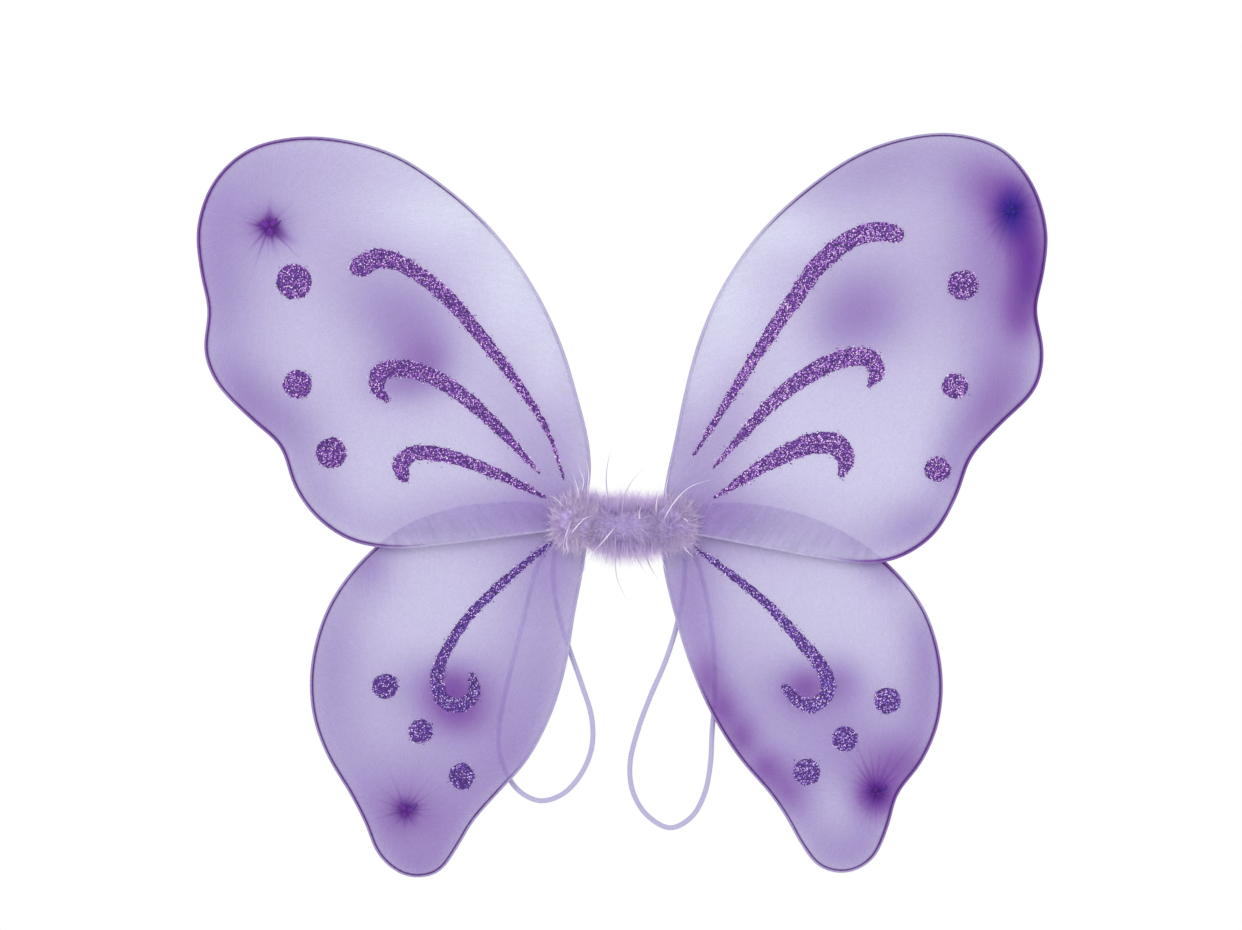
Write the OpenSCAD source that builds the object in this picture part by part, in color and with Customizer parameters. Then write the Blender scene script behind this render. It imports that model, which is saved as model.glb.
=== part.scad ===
// Pair of gauze fairy wings on bent wire frames, with a feather-trimmed middle and two arm loops.
// +X runs across the wings, +Z is up and +Y points at the wearer's back.
// The origin is the middle of the feather trim's back, where it rests on the wearer.

/* [Wings] */
// Width across the tips of the upper wings
wing_span = 480; // [420:5:540]
// Diameter of the wire that frames each wing
wire_d = 2; // [1.6:0.1:2.2]
// Thickness of the stretched cover
cover_wall = 0.4; // [0.2:0.1:0.6]
// Space left between the wire and the cover
wire_clearance = 0.2; // [0.1:0.1:0.4]
// Distance between the middle layers of an upper and a lower wing
layer_gap = 4.8; // [4.8:0.2:6]
// Radius that the wings are bowed to, away from the wearer
bow_radius = 1400; // [1000:50:3000]

/* [Decoration] */
// Thickness of the raised glitter
glitter_t = 0.6; // [0.3:0.1:1.2]
// Height of each gathered knot above its wing
gather_h = 5.5; // [4:0.5:8]

/* [Middle] */
// Outer diameter of the feather trim's dense part
trim_d = 22; // [22:1:26]
// Length of the feather trim's back roll
trim_len = 84; // [76:2:90]
// Distance of each wing's hinge line from the middle
hinge_x = 15; // [15:0.5:17]

/* [Arm loops] */
// Diameter of the elastic cord
elastic_d = 3; // [2:0.2:3.2]

/* [Hidden] */
$fn = 48;

// Thin film left between pieces that touch
film = 0.05;
// Sides and steps of the swept tubes and curves
tube_sides = 8;
rim_steps = 4;
stroke_steps = 4;
strap_steps = 2;
bow_fn = 720;

// Core: the line that the wire tails lie along
core_y = -trim_d / 2;
core_half = 11;
tail_pitch = 2.8;
tail_x = hinge_x + 3;
mouth_x = hinge_x + 4.4;
neck_x = hinge_x + 7;
wire_ring_r = 2.35;
tape_bore_r = wire_ring_r + wire_d / 2 + 0.1;
tape_wall = 0.65;
tape_r = tape_bore_r + tape_wall;
string_r = 0.8;
string_turns = 6;
string_pitch = 2.4;

// Feather trim
trim_r = trim_d / 2;
trim_bore_r = 7.3;
trim_flat = 5;
spool_half = 5;
spool_end_half = core_half;
spool_end_r = 7.8;
tuft_r = 9;
tuft_x = hinge_x + 16.5;

// Cover: half thickness outside and inside
cover_gap = wire_d / 2 + wire_clearance;
cover_half = cover_gap + cover_wall;

// Binding round each wing's root
tie_x = hinge_x + 4.9;
tie_w = 1.7;
tie_gap = 0.15;
tie_wall = 0.35;

// Arm loops: where the elastic leaves the trim
elastic_r = elastic_d / 2;
strap_y = core_y + 8;
strap_exit_z = -10;
strap_ring_x = 8.6;
strap_ring_r = 1.2;
lead_r = 1.4;
lead_start = [8.6, core_y + 6.2, -1];
lead_apart = [1.25, 0, 1.2];
left_exit = [41.2, strap_y, strap_exit_z];
right_exit = [36.8, strap_y, strap_exit_z];

// Colours
lilac = [0.76, 0.71, 0.87];
violet = [0.35, 0.17, 0.58];
pale = [0.84, 0.80, 0.93];
steel = [0.55, 0.55, 0.60];

// Rims as bent by hand, from the upper tail round to the lower tail:
// distance out from the middle, height
UPPER_LEFT_RIM = [
    [24, 5], [22.5, 14], [20, 28], [21, 46], [27.5, 73], [37.5, 105], [54, 138], [77, 169],
    [104, 193], [131, 210], [160, 218], [186, 219], [212, 212], [231, 194], [240, 168],
    [238, 142], [234, 122], [236, 98], [229, 80], [210, 60], [194, 45], [186, 22], [174, 5],
    [155, -8], [130, -12.5], [104, -10.5], [72, -6.5], [42, -2.8]
];
UPPER_RIGHT_RIM = [
    [24.5, 5], [23.5, 14], [25.5, 28], [29.5, 46], [35, 73], [43.5, 105], [57, 135.5], [79, 167],
    [106, 192], [135, 211], [164, 220], [188, 221], [213, 213], [230, 193], [238, 166],
    [236, 142], [232, 122], [236, 98], [232, 78], [212, 57], [196, 39], [188, 17], [176, -4],
    [158, -17], [140, -21], [112, -18], [74, -11], [42, -5]
];
LOWER_LEFT_RIM = [
    [36, 7], [50, 11.5], [70, 12], [95, 9], [124, -1], [150, -22], [168, -48], [177, -80],
    [176, -108], [168, -131], [155, -153], [146.5, -170], [139, -188], [124, -199.5],
    [107, -198], [96, -184], [87, -169], [72, -152], [56, -134], [42, -107], [34, -80],
    [29, -50], [24, -24], [22.5, -13], [24, -5]
];
LOWER_RIGHT_RIM = [
    [36, 7], [50, 11], [72, 11], [98, 6], [124, -4.5], [150, -23], [170, -48], [179.5, -80],
    [178.5, -110], [169, -134], [155, -153], [149.5, -172], [141, -190], [127, -197.5],
    [112, -194.5], [102, -182], [93, -166], [84, -153], [66, -132], [50, -106], [38, -78],
    [29, -48], [23.5, -24], [22.5, -13], [24, -5]
];

// Each wing: side (-1 left, 1 right), layer (1 upper, -1 lower), rim
UPPER_LEFT = [-1, 1, UPPER_LEFT_RIM];
UPPER_RIGHT = [1, 1, UPPER_RIGHT_RIM];
LOWER_LEFT = [-1, -1, LOWER_LEFT_RIM];
LOWER_RIGHT = [1, -1, LOWER_RIGHT_RIM];

// Glitter strokes along their middle lines: distance out, height, width
UPPER_LEFT_LONG = [
    [150, 146.5, 12], [141, 151.4, 11.5], [128, 149, 9.5], [104.7, 133.4, 8.5], [82, 108, 7.5],
    [61, 81, 5.5], [43.4, 53, 2.8], [34, 25, 1]
];
UPPER_LEFT_MIDDLE = [
    [134.7, 70.7, 3], [140.4, 79, 9], [138, 87, 10], [126, 89, 9.6], [105.7, 82.7, 9.2],
    [80, 63.5, 7.5], [59.4, 42, 4.2], [48.2, 29, 1]
];
UPPER_LEFT_SHORT = [
    [124.8, 26.8, 6], [127, 34, 9.5], [120.8, 40.4, 9], [105, 40.2, 8], [86.5, 34.8, 7],
    [64.2, 25.2, 5], [45, 15.7, 2.2]
];
UPPER_RIGHT_LONG = [
    [154.6, 164.6, 9], [147, 167, 11], [130.6, 163.4, 10.4], [112.5, 149.6, 10.6],
    [95.4, 126.3, 9], [76.4, 98.3, 7], [57.4, 67.9, 4.6], [39.2, 38.8, 1.3]
];
UPPER_RIGHT_MIDDLE = [
    [139, 78.7, 2.6], [143.6, 86.5, 9], [140, 94.5, 10.4], [128, 95.4, 10.4], [112.6, 89.9, 10],
    [89.8, 74.4, 8.6], [69.5, 53.5, 5.4], [51, 32.4, 1.3]
];
UPPER_RIGHT_SHORT = [
    [123.8, 28.9, 4.5], [126, 37, 10.4], [121, 45.6, 12.6], [106.2, 46, 11.6], [84, 36.4, 9],
    [61.6, 22, 4.4], [51.2, 15.2, 1.3]
];
LOWER_LEFT_CURL = [
    [39.9, -9, 2.4], [65, -29.5, 4.7], [88.6, -52.4, 5.7], [103.8, -76.5, 6.5], [106.7, -90, 7.7],
    [102, -101, 8], [93, -103, 7.5], [85.6, -97, 7.2], [86.6, -86, 4]
];
LOWER_RIGHT_CURL = [
    [39.6, -12.5, 1.8], [60.6, -28, 4.2], [82, -45.5, 5.2], [100, -65.3, 6.6], [114, -83, 8],
    [116.5, -94, 8.2], [108, -103.3, 7.6], [99, -100.5, 6.8], [91.4, -92, 4]
];

// Glitter dots: distance out, height, radius
UPPER_LEFT_DOTS = [[187, 138, 9.9], [185, 80, 8.1], [166, 41, 8.6]];
UPPER_RIGHT_DOTS = [[192, 136, 8.6], [187.6, 79, 7.5], [177.7, 31.6, 7.2]];
LOWER_LEFT_DOTS = [[136, -92, 7.2], [116, -118, 7], [92.7, -143.6, 7.4]];
LOWER_RIGHT_DOTS = [[150, -100, 7.6], [126, -122, 7.2], [104.5, -141, 7.7]];

// Gathered knots: distance out, height, radius
UPPER_LEFT_KNOT = [201, 169, 5.5];
UPPER_RIGHT_KNOT = [219, 178, 6];
LOWER_LEFT_KNOT = [124.5, -162.5, 5.5];
LOWER_RIGHT_KNOT = [143.5, -152, 6];

// Arm loops as they hang, from one end to the other: X and Z
LEFT_LOOP = [
    [-43.5, -13.5], [-49, -23], [-53, -35], [-57, -52], [-61.5, -70], [-66, -88], [-70, -106],
    [-72, -123], [-69, -139], [-60.5, -152.5], [-48, -158.5], [-35, -154.5], [-24.5, -143],
    [-18.5, -128], [-18.5, -111], [-24.5, -91], [-31.5, -71], [-37.5, -51], [-40.5, -31],
    [-39.5, -13.5]
];
RIGHT_LOOP = [
    [39, -13.5], [43.5, -26], [47.5, -42], [50.5, -60], [52, -80], [52, -100], [50.5, -120],
    [49.5, -138], [46, -155], [38.5, -168], [26.5, -174], [13, -166.5], [5, -153], [3.5, -137],
    [8, -118], [15, -99], [24, -78], [30.5, -57], [34.5, -34], [35, -13.5]
];

// Points that a smooth curve passes through, joined by spans that keep its turns even
function knot_step(a, b) = sqrt(norm(b - a));
function between(a, b, ta, tb, t) = ((tb - t) * a + (t - ta) * b) / (tb - ta);
function span_point(p0, p1, p2, p3, f) =
    let (t1 = knot_step(p0, p1))
    let (t2 = t1 + knot_step(p1, p2))
    let (t3 = t2 + knot_step(p2, p3))
    let (t = t1 + f * (t2 - t1))
    let (a1 = between(p0, p1, 0, t1, t))
    let (a2 = between(p1, p2, t1, t2, t))
    let (a3 = between(p2, p3, t2, t3, t))
    between(between(a1, a2, 0, t2, t), between(a2, a3, t1, t3, t), t1, t2, t);
function point_or_beyond(p, i) =
    i < 0 ? 2 * p[0] - p[1] : i >= len(p) ? 2 * p[len(p) - 1] - p[len(p) - 2] : p[i];
function curve(p, steps) = [
    for (i = [0 : len(p) - 2], k = [0 : steps - 1])
        span_point(point_or_beyond(p, i - 1), p[i], p[i + 1], point_or_beyond(p, i + 2), k / steps),
    p[len(p) - 1]
];

// Direction of a flat path at a point, and its left-hand normal
function unit(v) = v / norm(v);
function along(p, i) = unit(p[min(i + 1, len(p) - 1)] - p[max(i - 1, 0)]);
function left_of(d) = [-d[1], d[0]];
function shifted(p, distance) = [for (i = [0 : len(p) - 1]) p[i] + distance * left_of(along(p, i))];

// The rims and marks are drawn for one span and neck place, and grow out from the neck
drawn_span = 480;
drawn_neck_x = 22;
wing_scale = wing_span / drawn_span;
function placed(p) = [neck_x + (p[0] - drawn_neck_x) * wing_scale, p[1] * wing_scale];

// A wing's wire line, out of its two tails and round its rim
function rim_line(w) =
    let (tail = tail_pitch / 2)
    curve(concat(
        [[tail_x, tail], [neck_x, tail + 0.1]],
        [for (p = w[2]) placed(p)],
        [[neck_x, -tail - 0.1], [tail_x, -tail]]
    ), rim_steps);
function mirrored(p, side) = [for (q = p) [side * q[0], q[1]]];

// The wings are bowed round one upright axis in front of them
bow_y = core_y - bow_radius;
function layer_radius(w) = bow_radius - w[1] * layer_gap / 2;
function layer_y(w, x) = bow_y + sqrt(pow(layer_radius(w), 2) - x * x);

side_turn = 360 / tube_sides;
// A tube of flat-sided rings swept along a path that runs mostly in the XZ plane
function ring(path, i, r) =
    let (t = along(path, i))
    let (u = unit(cross(t, [0, 1, 0])))
    let (v = cross(u, t))
    [for (k = [0 : tube_sides - 1])
        path[i] + r * (cos(side_turn * k) * u + sin(side_turn * k) * v)];
module tube(path, r) {
    last = len(path) - 1;
    points = [for (i = [0 : last]) each ring(path, i, r)];
    walls = [
        for (i = [0 : last - 1], k = [0 : tube_sides - 1])
            let (n = (k + 1) % tube_sides)
            let (a = i * tube_sides)
            let (b = a + tube_sides)
            each [[a + k, b + k, b + n], [a + k, b + n, a + n]]
    ];
    start_cap = [for (k = [0 : tube_sides - 1]) k];
    end_cap = [for (k = [0 : tube_sides - 1]) last * tube_sides + tube_sides - 1 - k];
    polyhedron(points, concat(walls, [start_cap, end_cap]));
}

// The space between two bow radii, over the whole height
module bow_shell(r_out, r_in) {
    height = 2 * wing_span;
    translate([0, bow_y, -height / 2]) difference() {
        cylinder(r = r_out, h = height, $fn = bow_fn);
        translate([0, 0, -1]) cylinder(r = r_in, h = height + 2, $fn = bow_fn);
    }
}

// A flat outline in XZ, cut through the bowed layers on one side of a wing
prism_depth = 120;
prism_back = core_y + prism_depth / 3;
module prism(outline) {
    translate([0, prism_back, 0]) rotate([90, 0, 0]) linear_extrude(prism_depth) polygon(outline);
}

module wing_frame(w) {
    path = [for (p = rim_line(w)) [w[0] * p[0], layer_y(w, p[0]), p[1]]];
    color(steel) tube(path, wire_d / 2);
}

module wing_cover(w) {
    line = rim_line(w);
    r = layer_radius(w);
    color(lilac) difference() {
        intersection() {
            prism(mirrored(shifted(line, cover_half), w[0]));
            bow_shell(r + cover_half, r - cover_half);
        }
        intersection() {
            prism(mirrored(shifted(line, cover_gap), w[0]));
            bow_shell(r + cover_gap, r - cover_gap);
        }
        translate([-mouth_x, core_y - 20, -20]) cube([2 * mouth_x, 40, 40]);
    }
}

// Raised glitter on the front of a wing
module on_front(w, thickness) {
    front = layer_radius(w) - cover_half - film;
    intersection() {
        children();
        bow_shell(front, front - thickness);
    }
}
function half_width(p) = p[2] / 2 * wing_scale;
function round_end(middle, d, r) = [
    for (a = [-60 : 30 : 60]) middle + r * (cos(a) * d + sin(a) * left_of(d))
];
function stroke_outline(points) =
    let (c = curve(points, stroke_steps))
    let (last = len(c) - 1)
    let (m = [for (p = c) placed(p)])
    concat(
        [for (i = [0 : last]) m[i] - half_width(c[i]) * left_of(along(m, i))],
        round_end(m[last], along(m, last), half_width(c[last])),
        [for (i = [last : -1 : 0]) m[i] + half_width(c[i]) * left_of(along(m, i))],
        round_end(m[0], -along(m, 0), half_width(c[0]))
    );
module glitter_stroke(w, points) {
    color(violet) on_front(w, glitter_t) prism(mirrored(stroke_outline(points), w[0]));
}
module glitter_dots(w, dots) {
    color(violet) on_front(w, glitter_t) for (d = dots) {
        p = placed(d);
        translate([w[0] * p[0], prism_back, p[1]]) rotate([90, 0, 0])
            cylinder(r = d[2] * wing_scale, h = prism_depth);
    }
}

// Puts a shape that stands along +Z on the front of a wing
module stand_on_front(w, spot) {
    p = placed(spot);
    front = layer_radius(w) - cover_half - 2 * film;
    turn = asin(p[0] / front);
    translate([0, bow_y, p[1]]) rotate([0, 0, -w[0] * turn])
        translate([0, front, 0]) rotate([90, 0, 0]) children();
}

// Cloth drawn together into a knot: a flared skirt, a tied waist and a puffed end
gather_waist_r = 2;
gather_waist_z = gather_h * 0.4;
gather_tie_r = 0.6;
module gather(w, knot) {
    r = knot[2];
    skirt = gather_waist_z - gather_tie_r;
    color(violet) stand_on_front(w, knot) rotate_extrude() polygon([
        [0, 0], [r, 0], [r * 0.62, skirt * 0.35], [gather_waist_r, skirt],
        [gather_waist_r, skirt + 2 * gather_tie_r],
        [r * 0.55, gather_h * 0.72], [r * 0.5, gather_h * 0.9], [r * 0.25, gather_h], [0, gather_h]
    ]);
}
module gather_tie(w, knot) {
    color(violet) stand_on_front(w, knot) translate([0, 0, gather_waist_z]) rotate_extrude()
        translate([gather_waist_r + film + gather_tie_r, 0]) circle(gather_tie_r, $fn = 24);
}

// Thread wound round the cover's neck and the two wire tails
module root_tie(w) {
    inner_y = cover_half + tie_gap;
    inner_z = tail_pitch / 2 + cover_half + tie_gap + 0.1;
    middle_y = layer_y(w, tie_x + tie_w / 2);
    color(pale) translate([w[0] * (tie_x + tie_w / 2), middle_y, 0]) difference() {
        cube([tie_w, 2 * (inner_y + tie_wall), 2 * (inner_z + tie_wall)], center = true);
        cube([tie_w + 1, 2 * inner_y, 2 * inner_z], center = true);
    }
}

// Places a shape that stands along +Z along the core instead
module along_core(x) {
    translate([x, core_y, 0]) rotate([0, 90, 0]) children();
}

module centre_wires() {
    color(steel) {
        along_core(0) cylinder(d = wire_d, h = 2 * core_half, center = true, $fn = 24);
        for (k = [0 : 6]) rotate_about_core(k * 360 / 7) translate([0, 0, wire_ring_r])
            rotate([0, 90, 0]) cylinder(d = wire_d, h = 2 * core_half, center = true, $fn = 24);
    }
}
module rotate_about_core(angle) {
    translate([0, core_y, 0]) rotate([angle, 0, 0]) children();
}

module centre_tape() {
    color(pale) along_core(0) difference() {
        cylinder(r = tape_r, h = 2 * core_half - 1, center = true);
        cylinder(r = tape_bore_r, h = 2 * core_half + 1, center = true);
    }
}

// Quill string of the feather trim, wound round the tape
module marabou_string() {
    color(pale) for (k = [0 : string_turns - 1])
        along_core((k - (string_turns - 1) / 2) * string_pitch) rotate_extrude()
            translate([tape_r + film + string_r, 0]) circle(string_r, $fn = 24);
}

// Elastic knotted round the core, and its two strands running out along the back
module lead_strand(side, exit, strand, r, extra) {
    start = lead_start + strand * lead_apart;
    end = exit + strand * lead_apart;
    run = end - start;
    reach = norm(run);
    mirror([side < 0 ? 1 : 0, 0, 0])
        translate(start) rotate([0, acos(run[2] / reach), atan2(run[1], run[0])])
            translate([0, 0, -extra]) cylinder(r = r, h = reach + 2 * extra, $fn = 32);
}
module strap_tie(side, exit) {
    color(lilac) union() {
        along_core(side * strap_ring_x) rotate_extrude()
            translate([tape_r + film + strap_ring_r, 0]) circle(strap_ring_r, $fn = 24);
        for (strand = [-1, 1]) lead_strand(side, exit, strand, lead_r, 0);
    }
}

// Dense part of the feather trim: a spool round the core and a roll behind the wings
module trim_roll() {
    straight = trim_len - trim_d;
    intersection() {
        union() {
            along_core(0) cylinder(r = trim_r, h = straight, center = true);
            for (side = [-1, 1]) translate([side * straight / 2, core_y, 0]) sphere(r = trim_r);
        }
        translate([-trim_len / 2, core_y + trim_flat, -trim_r]) cube([trim_len, trim_r, trim_d]);
    }
}
module marabou_wrap() {
    color(pale) difference() {
        union() {
            trim_roll();
            along_core(0) rotate_extrude() polygon([
                [0, -spool_end_half], [spool_end_r, -spool_end_half], [trim_r, -spool_half],
                [trim_r, spool_half], [spool_end_r, spool_end_half], [0, spool_end_half]
            ]);
        }
        along_core(0) cylinder(r = trim_bore_r, h = 2 * spool_end_half + 1, center = true);
        for (strand = [-1, 1]) {
            lead_strand(-1, left_exit, strand, lead_r + 0.3, 1);
            lead_strand(1, right_exit, strand, lead_r + 0.3, 1);
        }
    }
}

// Feather tuft on the front of an upper wing's root
module marabou_tuft(w) {
    color(pale) stand_on_front(w, [tuft_x, 0]) intersection() {
        sphere(r = tuft_r, $fn = 96);
        translate([-tuft_r, -tuft_r, film]) cube(2 * tuft_r);
    }
}

module strap(loop) {
    path = [for (p = curve(loop, strap_steps)) [p[0], strap_y, p[1]]];
    color(lilac) tube(path, elastic_r);
}

centre_wires();
centre_tape();
marabou_string();
marabou_wrap();
strap_tie(-1, left_exit);  // left_strap_tie
strap_tie(1, right_exit);  // right_strap_tie
wing_frame(UPPER_LEFT);  // upper_left_frame
wing_cover(UPPER_LEFT);  // upper_left_cover
gather(UPPER_LEFT, UPPER_LEFT_KNOT);  // upper_left_gather
gather_tie(UPPER_LEFT, UPPER_LEFT_KNOT);  // upper_left_gather_tie
root_tie(UPPER_LEFT);  // upper_left_root_tie
glitter_stroke(UPPER_LEFT, UPPER_LEFT_LONG);  // upper_left_long_stroke
glitter_stroke(UPPER_LEFT, UPPER_LEFT_MIDDLE);  // upper_left_middle_stroke
glitter_stroke(UPPER_LEFT, UPPER_LEFT_SHORT);  // upper_left_short_stroke
glitter_dots(UPPER_LEFT, UPPER_LEFT_DOTS);  // upper_left_dots
marabou_tuft(UPPER_LEFT);  // marabou_tuft_left
wing_frame(UPPER_RIGHT);  // upper_right_frame
wing_cover(UPPER_RIGHT);  // upper_right_cover
gather(UPPER_RIGHT, UPPER_RIGHT_KNOT);  // upper_right_gather
gather_tie(UPPER_RIGHT, UPPER_RIGHT_KNOT);  // upper_right_gather_tie
root_tie(UPPER_RIGHT);  // upper_right_root_tie
glitter_stroke(UPPER_RIGHT, UPPER_RIGHT_LONG);  // upper_right_long_stroke
glitter_stroke(UPPER_RIGHT, UPPER_RIGHT_MIDDLE);  // upper_right_middle_stroke
glitter_stroke(UPPER_RIGHT, UPPER_RIGHT_SHORT);  // upper_right_short_stroke
glitter_dots(UPPER_RIGHT, UPPER_RIGHT_DOTS);  // upper_right_dots
marabou_tuft(UPPER_RIGHT);  // marabou_tuft_right
wing_frame(LOWER_LEFT);  // lower_left_frame
wing_cover(LOWER_LEFT);  // lower_left_cover
gather(LOWER_LEFT, LOWER_LEFT_KNOT);  // lower_left_gather
gather_tie(LOWER_LEFT, LOWER_LEFT_KNOT);  // lower_left_gather_tie
root_tie(LOWER_LEFT);  // lower_left_root_tie
glitter_stroke(LOWER_LEFT, LOWER_LEFT_CURL);  // lower_left_stroke
glitter_dots(LOWER_LEFT, LOWER_LEFT_DOTS);  // lower_left_dots
wing_frame(LOWER_RIGHT);  // lower_right_frame
wing_cover(LOWER_RIGHT);  // lower_right_cover
gather(LOWER_RIGHT, LOWER_RIGHT_KNOT);  // lower_right_gather
gather_tie(LOWER_RIGHT, LOWER_RIGHT_KNOT);  // lower_right_gather_tie
root_tie(LOWER_RIGHT);  // lower_right_root_tie
glitter_stroke(LOWER_RIGHT, LOWER_RIGHT_CURL);  // lower_right_stroke
glitter_dots(LOWER_RIGHT, LOWER_RIGHT_DOTS);  // lower_right_dots
strap(LEFT_LOOP);  // left_strap
strap(RIGHT_LOOP);  // right_strap
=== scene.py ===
# Fairy wings: dyed nylon over bent wire, with glitter, tied knots, arm loops and a trim of down.
import math

import bpy
import numpy as np
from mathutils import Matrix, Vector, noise
from mathutils.geometry import delaunay_2d_cdt


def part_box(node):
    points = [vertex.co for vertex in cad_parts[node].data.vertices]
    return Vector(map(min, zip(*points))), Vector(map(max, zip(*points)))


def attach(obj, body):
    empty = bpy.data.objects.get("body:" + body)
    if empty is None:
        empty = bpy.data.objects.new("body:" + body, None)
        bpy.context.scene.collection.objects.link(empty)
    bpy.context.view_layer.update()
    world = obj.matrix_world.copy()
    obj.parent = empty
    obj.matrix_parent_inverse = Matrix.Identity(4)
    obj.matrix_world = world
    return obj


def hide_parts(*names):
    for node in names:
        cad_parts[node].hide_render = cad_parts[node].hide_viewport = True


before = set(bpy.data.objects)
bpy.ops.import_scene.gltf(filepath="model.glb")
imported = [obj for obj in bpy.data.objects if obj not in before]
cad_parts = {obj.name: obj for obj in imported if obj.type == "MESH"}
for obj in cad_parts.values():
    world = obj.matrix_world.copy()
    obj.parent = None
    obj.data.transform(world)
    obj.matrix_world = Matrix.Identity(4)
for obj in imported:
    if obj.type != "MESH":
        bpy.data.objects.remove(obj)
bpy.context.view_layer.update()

# All lengths below are in millimetres in the frame of the CAD, and become metres when a mesh is made
MM = 0.001
CORE_Y = -11.0
BOW_RADIUS = 1400.0
LAYER_OFFSET = 2.4
WIRE_R = 1.0
RIM_R = 1.15
COVER_HALF = 1.6
TAU = 2 * math.pi
# First seeds of the pieces whose random parts go by the wing or the mark that they are on
NYLON_SEED, KNOT_SEED, THREAD_SEED, GLITTER_SEED = 11, 31, 41, 101
WRAP_SEED, LEFT_TUFT_SEED, RIGHT_TUFT_SEED = 7, 61, 62


def layer_y(x, layer):
    """Middle of an upper (1) or lower (-1) wing, on the cylinder that the wings are bowed to."""
    return CORE_Y - BOW_RADIUS + np.sqrt((BOW_RADIUS - layer * LAYER_OFFSET) ** 2 - x * x)


def linear(colour):
    """Linear red, green and blue of an sRGB colour given from 0 to 255."""
    c = np.asarray(colour, float) / 255
    return np.where(c <= 0.04045, c / 12.92, ((c + 0.055) / 1.055) ** 2.4)


def unit(v):
    """Rows of directions, each one long."""
    return v / np.maximum(np.linalg.norm(v, axis=-1, keepdims=True), 1e-9)


def make_object(name, points, faces, material, tint=None, extra=None, smooth=True):
    """A mesh with a colour, and any other values, at each of its points."""
    mesh = bpy.data.meshes.new(name)
    mesh.from_pydata((np.asarray(points) * MM).tolist(), [], faces)
    mesh.update()
    mesh.polygons.foreach_set("use_smooth", [smooth] * len(mesh.polygons))
    if tint is not None:
        tint = np.asarray(tint, float)
        if tint.shape[1] == 3:
            tint = np.hstack([tint, np.ones((len(tint), 1))])
        layer = mesh.color_attributes.new("tint", "FLOAT_COLOR", "POINT")
        layer.data.foreach_set("color", tint.ravel())
    for key, values in (extra or {}).items():
        layer = mesh.attributes.new(key, "FLOAT_VECTOR", "POINT")
        layer.data.foreach_set("vector", np.asarray(values, float).ravel())
    mesh.materials.append(material)
    piece = bpy.data.objects.new(name, mesh)
    bpy.context.scene.collection.objects.link(piece)
    return piece


def place_piece(piece, body, slot, *nodes):
    """The piece moves with a body and takes the place of CAD nodes. Its slot argument is not used."""
    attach(piece, body)
    if nodes:
        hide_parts(*nodes)


def joined(parts):
    """Several lots of points, faces and any colours as one, with the faces' corners counted on."""
    starts = np.cumsum([0] + [len(part[0]) for part in parts]).tolist()
    faces = [tuple(i + start for i in face) for start, part in zip(starts, parts) for face in part[1]]
    points, _, *tints = zip(*parts)
    return np.vstack(points), faces, *[np.vstack(tint) for tint in tints]


def grid_faces(rows, columns):
    """Quads between rows of points, each row closed into a ring."""
    faces = []
    for r in range(rows - 1):
        a = r * columns
        for c in range(columns):
            n = (c + 1) % columns
            faces.append((a + c, a + n, a + columns + n, a + columns + c))
    return faces


def tube_faces(rows, sides, flip=False):
    """The rings of a tube joined up, with its two ends capped."""
    first, last = tuple(range(sides)), tuple(range((rows - 1) * sides, rows * sides))
    caps = [first, last[::-1]] if flip else [first[::-1], last]
    return grid_faces(rows, sides) + caps


# ---------------------------------------------------------------- materials

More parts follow.
